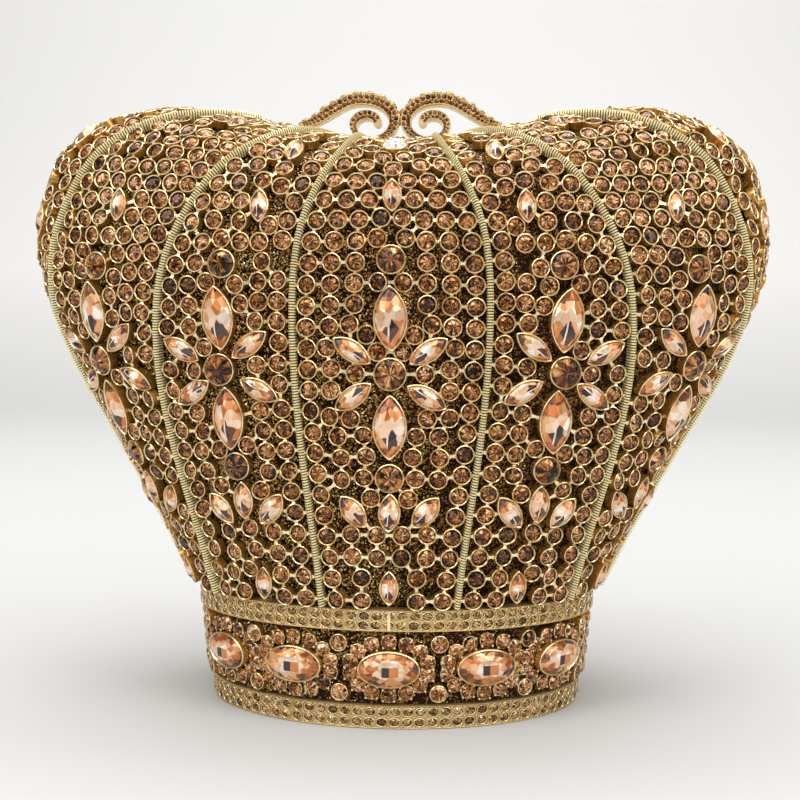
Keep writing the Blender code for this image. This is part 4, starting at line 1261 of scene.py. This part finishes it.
def base_seat(bearing, rise=0.0, along=0.0):
    """A place on the base band: X along it, Y up it, Z out of it."""
    middle = (BASE_BAND_BOTTOM + BASE_BAND_TOP) / 2

    def wall(angle, height):
        return base_point(angle, *well(height, BASE_BAND_WALL))

    step = 0.01
    for _ in range(8):
        per_bearing = (wall(bearing + step, middle) - wall(bearing, middle)).length / step
        bearing += along / 8 / per_bearing
    height = middle + rise
    here = wall(bearing, height)
    across = (wall(bearing + step, height) - wall(bearing - step, height)).normalized()
    up = (wall(bearing, BASE_BAND_TOP) - wall(bearing, BASE_BAND_BOTTOM)).normalized()
    out = across.cross(up).normalized()
    return placed(here, across, out.cross(across), out)


def base_pieces():
    section = [well(z, BASE_BAND_WALL) for z in (BASE_BAND_BOTTOM, BASE_BAND_TOP)]
    section += [well(z) for z in (BASE_BAND_TOP, BASE_BAND_BOTTOM)]
    # The base's ground gets the darker glitter copy as painted shade
    add_halves("base_ground", [base_strip(section)], [SHADED_GLITTER], ["base_band"])

    half_length, half_width, wall = 7.35 * MM, 4.4 * MM, 0.5 * MM
    collar = wall_model(half_length, half_width, 32, -0.3 * MM, 2.5 * MM, wall)
    oval = stone_model(half_length - wall, half_width - wall, (1, 2.2, 24, 0), (0.8, 3.0, 12, 0.5),
                       (0.56, 3.5, 12, 0), (0.3, 3.75, 8, 0.5), (0.1, 0.4, 6, 0))
    ovals = [base_seat(radians(b)) for b in OVAL_BEARINGS]

    radius = 1.85 * MM
    cup = wall_model(radius, radius, 12, -0.3 * MM, 1.35 * MM, 0.3 * MM)
    claw = bead_model(0.38 * MM)
    brilliant = stone_model(1.74 * MM, 1.74 * MM, (1, 1.25, 16, 0), (0.78, 1.75, 8, 0.5),
                            (0.5, 2.05, 8, 0), (0.08, 0.1, 3, 0))
    halo = []
    for b in OVAL_BEARINGS:
        for k in range(HALO_STONES):
            turn = 2 * pi * (k + 0.5) / HALO_STONES
            rise, along = HALO_HALF_HEIGHT * sin(turn), HALO_HALF_LENGTH * cos(turn)
            halo.append(base_seat(radians(b), rise, along))
    quarters = [pi / 4 + k * pi / 2 for k in range(4)]
    corners = [Vector((radius * cos(turn), radius * sin(turn), 1.35 * MM))
               for turn in quarters]
    claws = [place @ Matrix.Translation(corner) for place in halo for corner in corners]

    ring = wall_model(2.1 * MM, 2.1 * MM, 16, -0.3 * MM, 1.9 * MM, 0.34 * MM)
    spacer = stone_model(1.8 * MM, 1.8 * MM, (1, 1.65, 12, 0), (0.56, 2.2, 6, 0.5), (0.08, 0.4, 3, 0))
    between = [base_seat(radians(side * b), rise * MM)
               for side in (-1, 1) for b in (14, 42, 72) for rise in (5.9, -5.9)]
    for back, rises in SIDE_COLUMNS:
        between += [base_seat(side * pi / 2, rise * MM, -side * back * MM)
                    for side in (-1, 1) for rise in rises]
    between += [base_seat(radians(side * 74.5)) for side in (-1, 1)]
    metal = [collar.set_at(ovals), cup.set_at(halo), claw.set_at(claws), ring.set_at(between)]
    add_halves("base_settings", metal, [BRIGHT_GILT])
    add_halves("oval_crystals", [oval.set_at(ovals)], [OVAL_CRYSTAL],
               [f"oval_{i + 1}" for i in range(5)])
    stones = [brilliant.set_at([jiggled(p, 6) for p in halo]),
              spacer.set_at([jiggled(p) for p in between])]
    add_halves("halo_stones", stones, [HALO_CRYSTAL])


# Clasp

def ridge_height(x):
    """Top of the rim's ridge at a distance from the middle."""
    reach, side_height, _, middle_height = crown_section(1, -RIM_PROUD)
    ahead = sqrt(max(1 - (x / reach) ** 2, 0))
    return side_height + (middle_height - side_height) * ahead ** LOBE_SPREAD_POWER


def scroll_size(bearing):
    """Radius of the curl's middle line and half thickness of its strip at a bearing in degrees,
    counted on from the tip."""
    share = (bearing - SCROLL_TIP_BEARING) / SCROLL_TURN
    radius = SCROLL_TOP_RADIUS * smooth_between(SCROLL_RADIUS_SHARES, share)
    return radius, SCROLL_THICKNESS / 2 * smooth_between(SCROLL_WIDTH_SHARES, share)


def scroll_route():
    """Middle line of the left scroll from its tip to its foot: point, direction square to it
    and half thickness."""
    curl = []
    for i in range(SCROLL_TURN_STEPS + 1):
        bearing = SCROLL_TIP_BEARING + SCROLL_TURN * i / SCROLL_TURN_STEPS
        radius, width = scroll_size(bearing)
        turn = radians(bearing)
        place = Vector((SCROLL_STRETCH * cos(turn), sin(turn)))
        curl.append((place * radius, width))
    centre_x = -SEAM_HALF_GAP - max(place.x + width for place, width in curl)
    low_radius, low_half = scroll_size(270)
    centre = Vector((centre_x, ridge_height(centre_x) + JOINT_GAP + low_half + low_radius))
    points = [centre + place for place, _ in curl]
    points, widths = [centre + place for place, _ in curl], [width for _, width in curl]
    half = SCROLL_THICKNESS / 2
    top = points[-1]
    foot_x = -SCROLL_FOOT_REACH
    foot = Vector((foot_x, ridge_height(foot_x) + JOINT_GAP + half))
    pull = (top.x - foot.x) * SCROLL_TAIL_PULL_SHARE
    leave = (points[-1] - points[-2]).normalized() * pull
    slope = Vector((-half, ridge_height(foot_x - half) - ridge_height(foot_x))).normalized()
    arrive = (slope + Vector((0, slope.x / 3))).normalized() * pull
    for i in range(1, SCROLL_TAIL_STEPS + 1):
        f = i / SCROLL_TAIL_STEPS
        a, b, c, d = (1 - f) ** 3, 3 * f * (1 - f) ** 2, 3 * f * f * (1 - f), f ** 3
        points.append(top * a + (top + leave) * b + (foot - arrive) * c + foot * d)
        widths.append(half)
    route = []
    for i, point in enumerate(points):
        run = points[min(i + 1, len(points) - 1)] - points[max(i - 1, 0)]
        route.append((point, Vector((run.y, -run.x)).normalized(), widths[i]))
    return route


def scroll_pieces():
    route = scroll_route()
    for i in range(-9, 0):
        point, square, width = route[i]
        thin = width * (1 - 0.06 * (10 + i))
        route[i] = (point - square * (width - thin), square, thin)
    depth = SCROLL_DEPTH / 2
    section = ((1, 0.88), (0.94, 1.0), (0.8, 1.0), (0.76, 0.9), (-0.76, 0.9), (-0.8, 1.0),
               (-0.94, 1.0), (-1, 0.88))
    section += tuple((a, -y) for a, y in reversed(section))

    def across(point, square, width):
        return [Vector((point.x + square.x * a * width, y * depth, point.y + square.y * a * width))
                for a, y in section]

    rows = [across(*station) for station in route]
    for near, far in ((0, 2), (-1, -3)):
        (point, square, width), inner = route[near], route[far][0]
        ahead = (point - inner).normalized() * width
        ends = [across(point + ahead * (sin(turn) * 0.8), square, width * cos(turn))
                for turn in (0.5, 0.9, 1.25, 1.45)]
        rows = ends[::-1] + rows if near == 0 else rows + ends
    ribbon = loft(rows)

    points = [point for point, _, _ in route]
    run = run_along(points)

    def place_at(spot, face=0):
        """Point, along, out and half thickness at a spot of the ribbon: on its front (-1) or
        rear (1) face, or on its outer edge."""
        point, i = spot_on(points, run, spot)
        _, flat, width = route[i]
        here, square = Vector((point.x, 0, point.y)), Vector((flat.x, 0, flat.y))
        if not face:
            return here + square * (width - 0.1 * MM), Vector((-square.z, 0, square.x)), square, width
        out = Vector((0, face, 0))
        return here + out * (depth * 0.9), square.cross(out), out, width

    face_places, edge_places = [], []
    for face in (-1, 1):
        for row in (-0.5, 0.5):
            spot = (0.7 + 0.35 * (row > 0)) * MM
            while spot < run[-1] - 0.6 * MM:
                here, along, out, width = place_at(spot, face)
                scale = Matrix.Scale(width / (SCROLL_THICKNESS / 2), 4)
                size, up = scale[0][0], out.cross(along)
                face_places.append(placed(here + up * (row * 1.24 * MM * size), along, up, out) @ scale)
                spot += (1.3 * size + 0.03) * MM

    spot, side = run[-1] * 0.46, -1.22 * MM
    while spot < run[-1] - 1.2 * MM:
        here, along, out, _ = place_at(spot)
        edge_places.append(placed(here + Vector((0, side, 0)), along, out.cross(along), out))
        spot, side = spot + 1.45 * MM, -side
    stone = stone_model(0.68 * MM, 0.68 * MM, (1, 0.15, 8, 0), (0.5, 0.44, 4, 0.5), (0.08, -0.4, 3, 0))
    ring = wall_model(1.3 * MM, 1.3 * MM, 12, -0.1 * MM, 0.4 * MM, 0.26 * MM)
    top_stone = stone_model(1.08 * MM, 1.08 * MM, (1, 0.28, 12, 0), (0.55, 0.68, 6, 0.5),
                            (0.08, -0.4, 3, 0))
    metal = [ribbon, ring.set_at(edge_places)]
    stones = [model.set_at([jiggled(p, 5) for p in places])
              for model, places in ((stone, face_places), (top_stone, edge_places))]
    for side, body in (("left", "front_half"), ("right", "rear_half")):
        add_piece(f"scroll_{side}_metal", metal, [SCROLL_GILT], body,
                  [f"clasp_scroll_{side}"])
        add_piece(f"scroll_{side}_stones", stones, [CHAMPAGNE_CRYSTAL], body)
        turn_to_rear(metal + stones)


# Studio

def studio():
    """A sweep of pale paper and five lamps. The paper is cut away inside the opened half."""
    steps = [(-2.5, 0.0), (0.9, 0.0)]
    steps += [(0.9 + 0.6 * sin(t), 0.6 - 0.6 * cos(t))
              for t in np.radians(np.linspace(6, 90, 15))]
    steps += [(1.5, 3.0)]
    corners = ((-3, 0, 0.00002), (3, 0, 0.00002), (3, 0.1, 0.1), (-3, 0.1, 0.1))
    rows = [[Vector((x, y + back, z - down)) for x, back, down in corners] for y, z in steps]
    sweep = bare_object("studio_sweep", loft(rows))
    opened = bare_object("opened_half_room", loft(lining_rows(0, LINER_FLOOR)))
    opened.hide_render = True
    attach(opened, "front_half")
    cut = sweep.modifiers.new("opened_half", "BOOLEAN")
    cut.operation, cut.solver, cut.object = "DIFFERENCE", "EXACT", opened
    paper = Finish("studio_paper", roughness=0.9)
    height = paper.parts(paper.place(), 3)[2]
    tint = paper.ramp(paper.noise(3.0, 2.0), ((0.3, (0.985, 0.985, 0.98)), (0.7, (1.0, 0.995, 0.99))))
    # Painted shade and light: the paper is painted darker on the floor and lighter up the wall
    shade = paper.ramp(height * 2, ((0.02, (0.565, 0.565, 0.56)), (0.35, (0.75, 0.745, 0.735))))
    paper.set(base_color=paper.blend(shade, tint, 1.0, "MULTIPLY"))
    sweep.data.materials.append(paper.material)

    world = bpy.data.worlds.new("studio")
    world.use_nodes = True
    sky = world.node_tree.nodes["Background"].inputs
    sky["Color"].default_value = (1.0, 0.985, 0.96, 1)
    sky["Strength"].default_value = 0.14
    bpy.context.scene.world = world

    for name, place, aim, size, power in (
            ("top_box", (0, 0, 1.5), (0, 0, 0), (1.6, 1.6), 28),
            ("left_box", (-1.0, -0.7, 0.9), (0, 0, 0.08), (0.7, 0.9), 7),
            ("right_box", (1.0, -0.6, 0.8), (0, 0, 0.08), (0.7, 0.9), 6),
            ("front_box", (0.05, -1.6, 0.95), (0, 0, 0.1), (2.4, 1.2), 10),
            ("wall_box", (0, 0.3, 1.4), (0, 1.5, 0.3), (3.2, 0.6), 9)):
        light = bpy.data.lights.new(name, "AREA")
        light.shape, light.size, light.size_y = "RECTANGLE", size[0], size[1]
        light.energy = power
        lamp = bpy.data.objects.new(name, light)
        lamp.location = place
        lamp.rotation_euler = (Vector(aim) - Vector(place)).to_track_quat("-Z", "Y").to_euler()
        bpy.context.scene.collection.objects.link(lamp)


def camera():
    """The photograph's camera: pinhole place in metres, turned, tipped and rolled in radians."""
    data = bpy.data.cameras.new("camera")
    data.sensor_width, data.lens = 36.0, 52.36
    data.clip_start = 0.01
    made = bpy.data.objects.new("camera", data)
    turn, tip, roll = (Matrix.Rotation(angle, 4, axis)
                       for angle, axis in ((0.046, "Z"), (pi / 2 - 0.060, "X"), (0.008, "Z")))
    made.matrix_world = Matrix.Translation((0.01438, -0.30156, 0.0932)) @ (turn @ tip @ roll)
    bpy.context.scene.collection.objects.link(made)
    bpy.context.scene.camera = made


camera()
studio()
crown_pieces()
add_halves("rib_wires", [milled_rib(pair) for pair in RIBS], [MILLED_GILT],
           [f"rib_{i}" for i in range(1, 7)])
add_halves("lining", [lining_chunk()], [GLITTER_CLOTH, LINING_LEATHER], ["liner"])
add_halves("seam_frame", [rim_chunk()], [BRIGHT_GILT], ["rim"])
pave_bands()
base_pieces()
scroll_pieces()

for name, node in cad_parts.items():
    if not node.hide_render:
        node.data.materials.clear()
        node.data.materials.append(BRIGHT_GILT)

bpy.context.scene.view_settings.view_transform = "Standard"
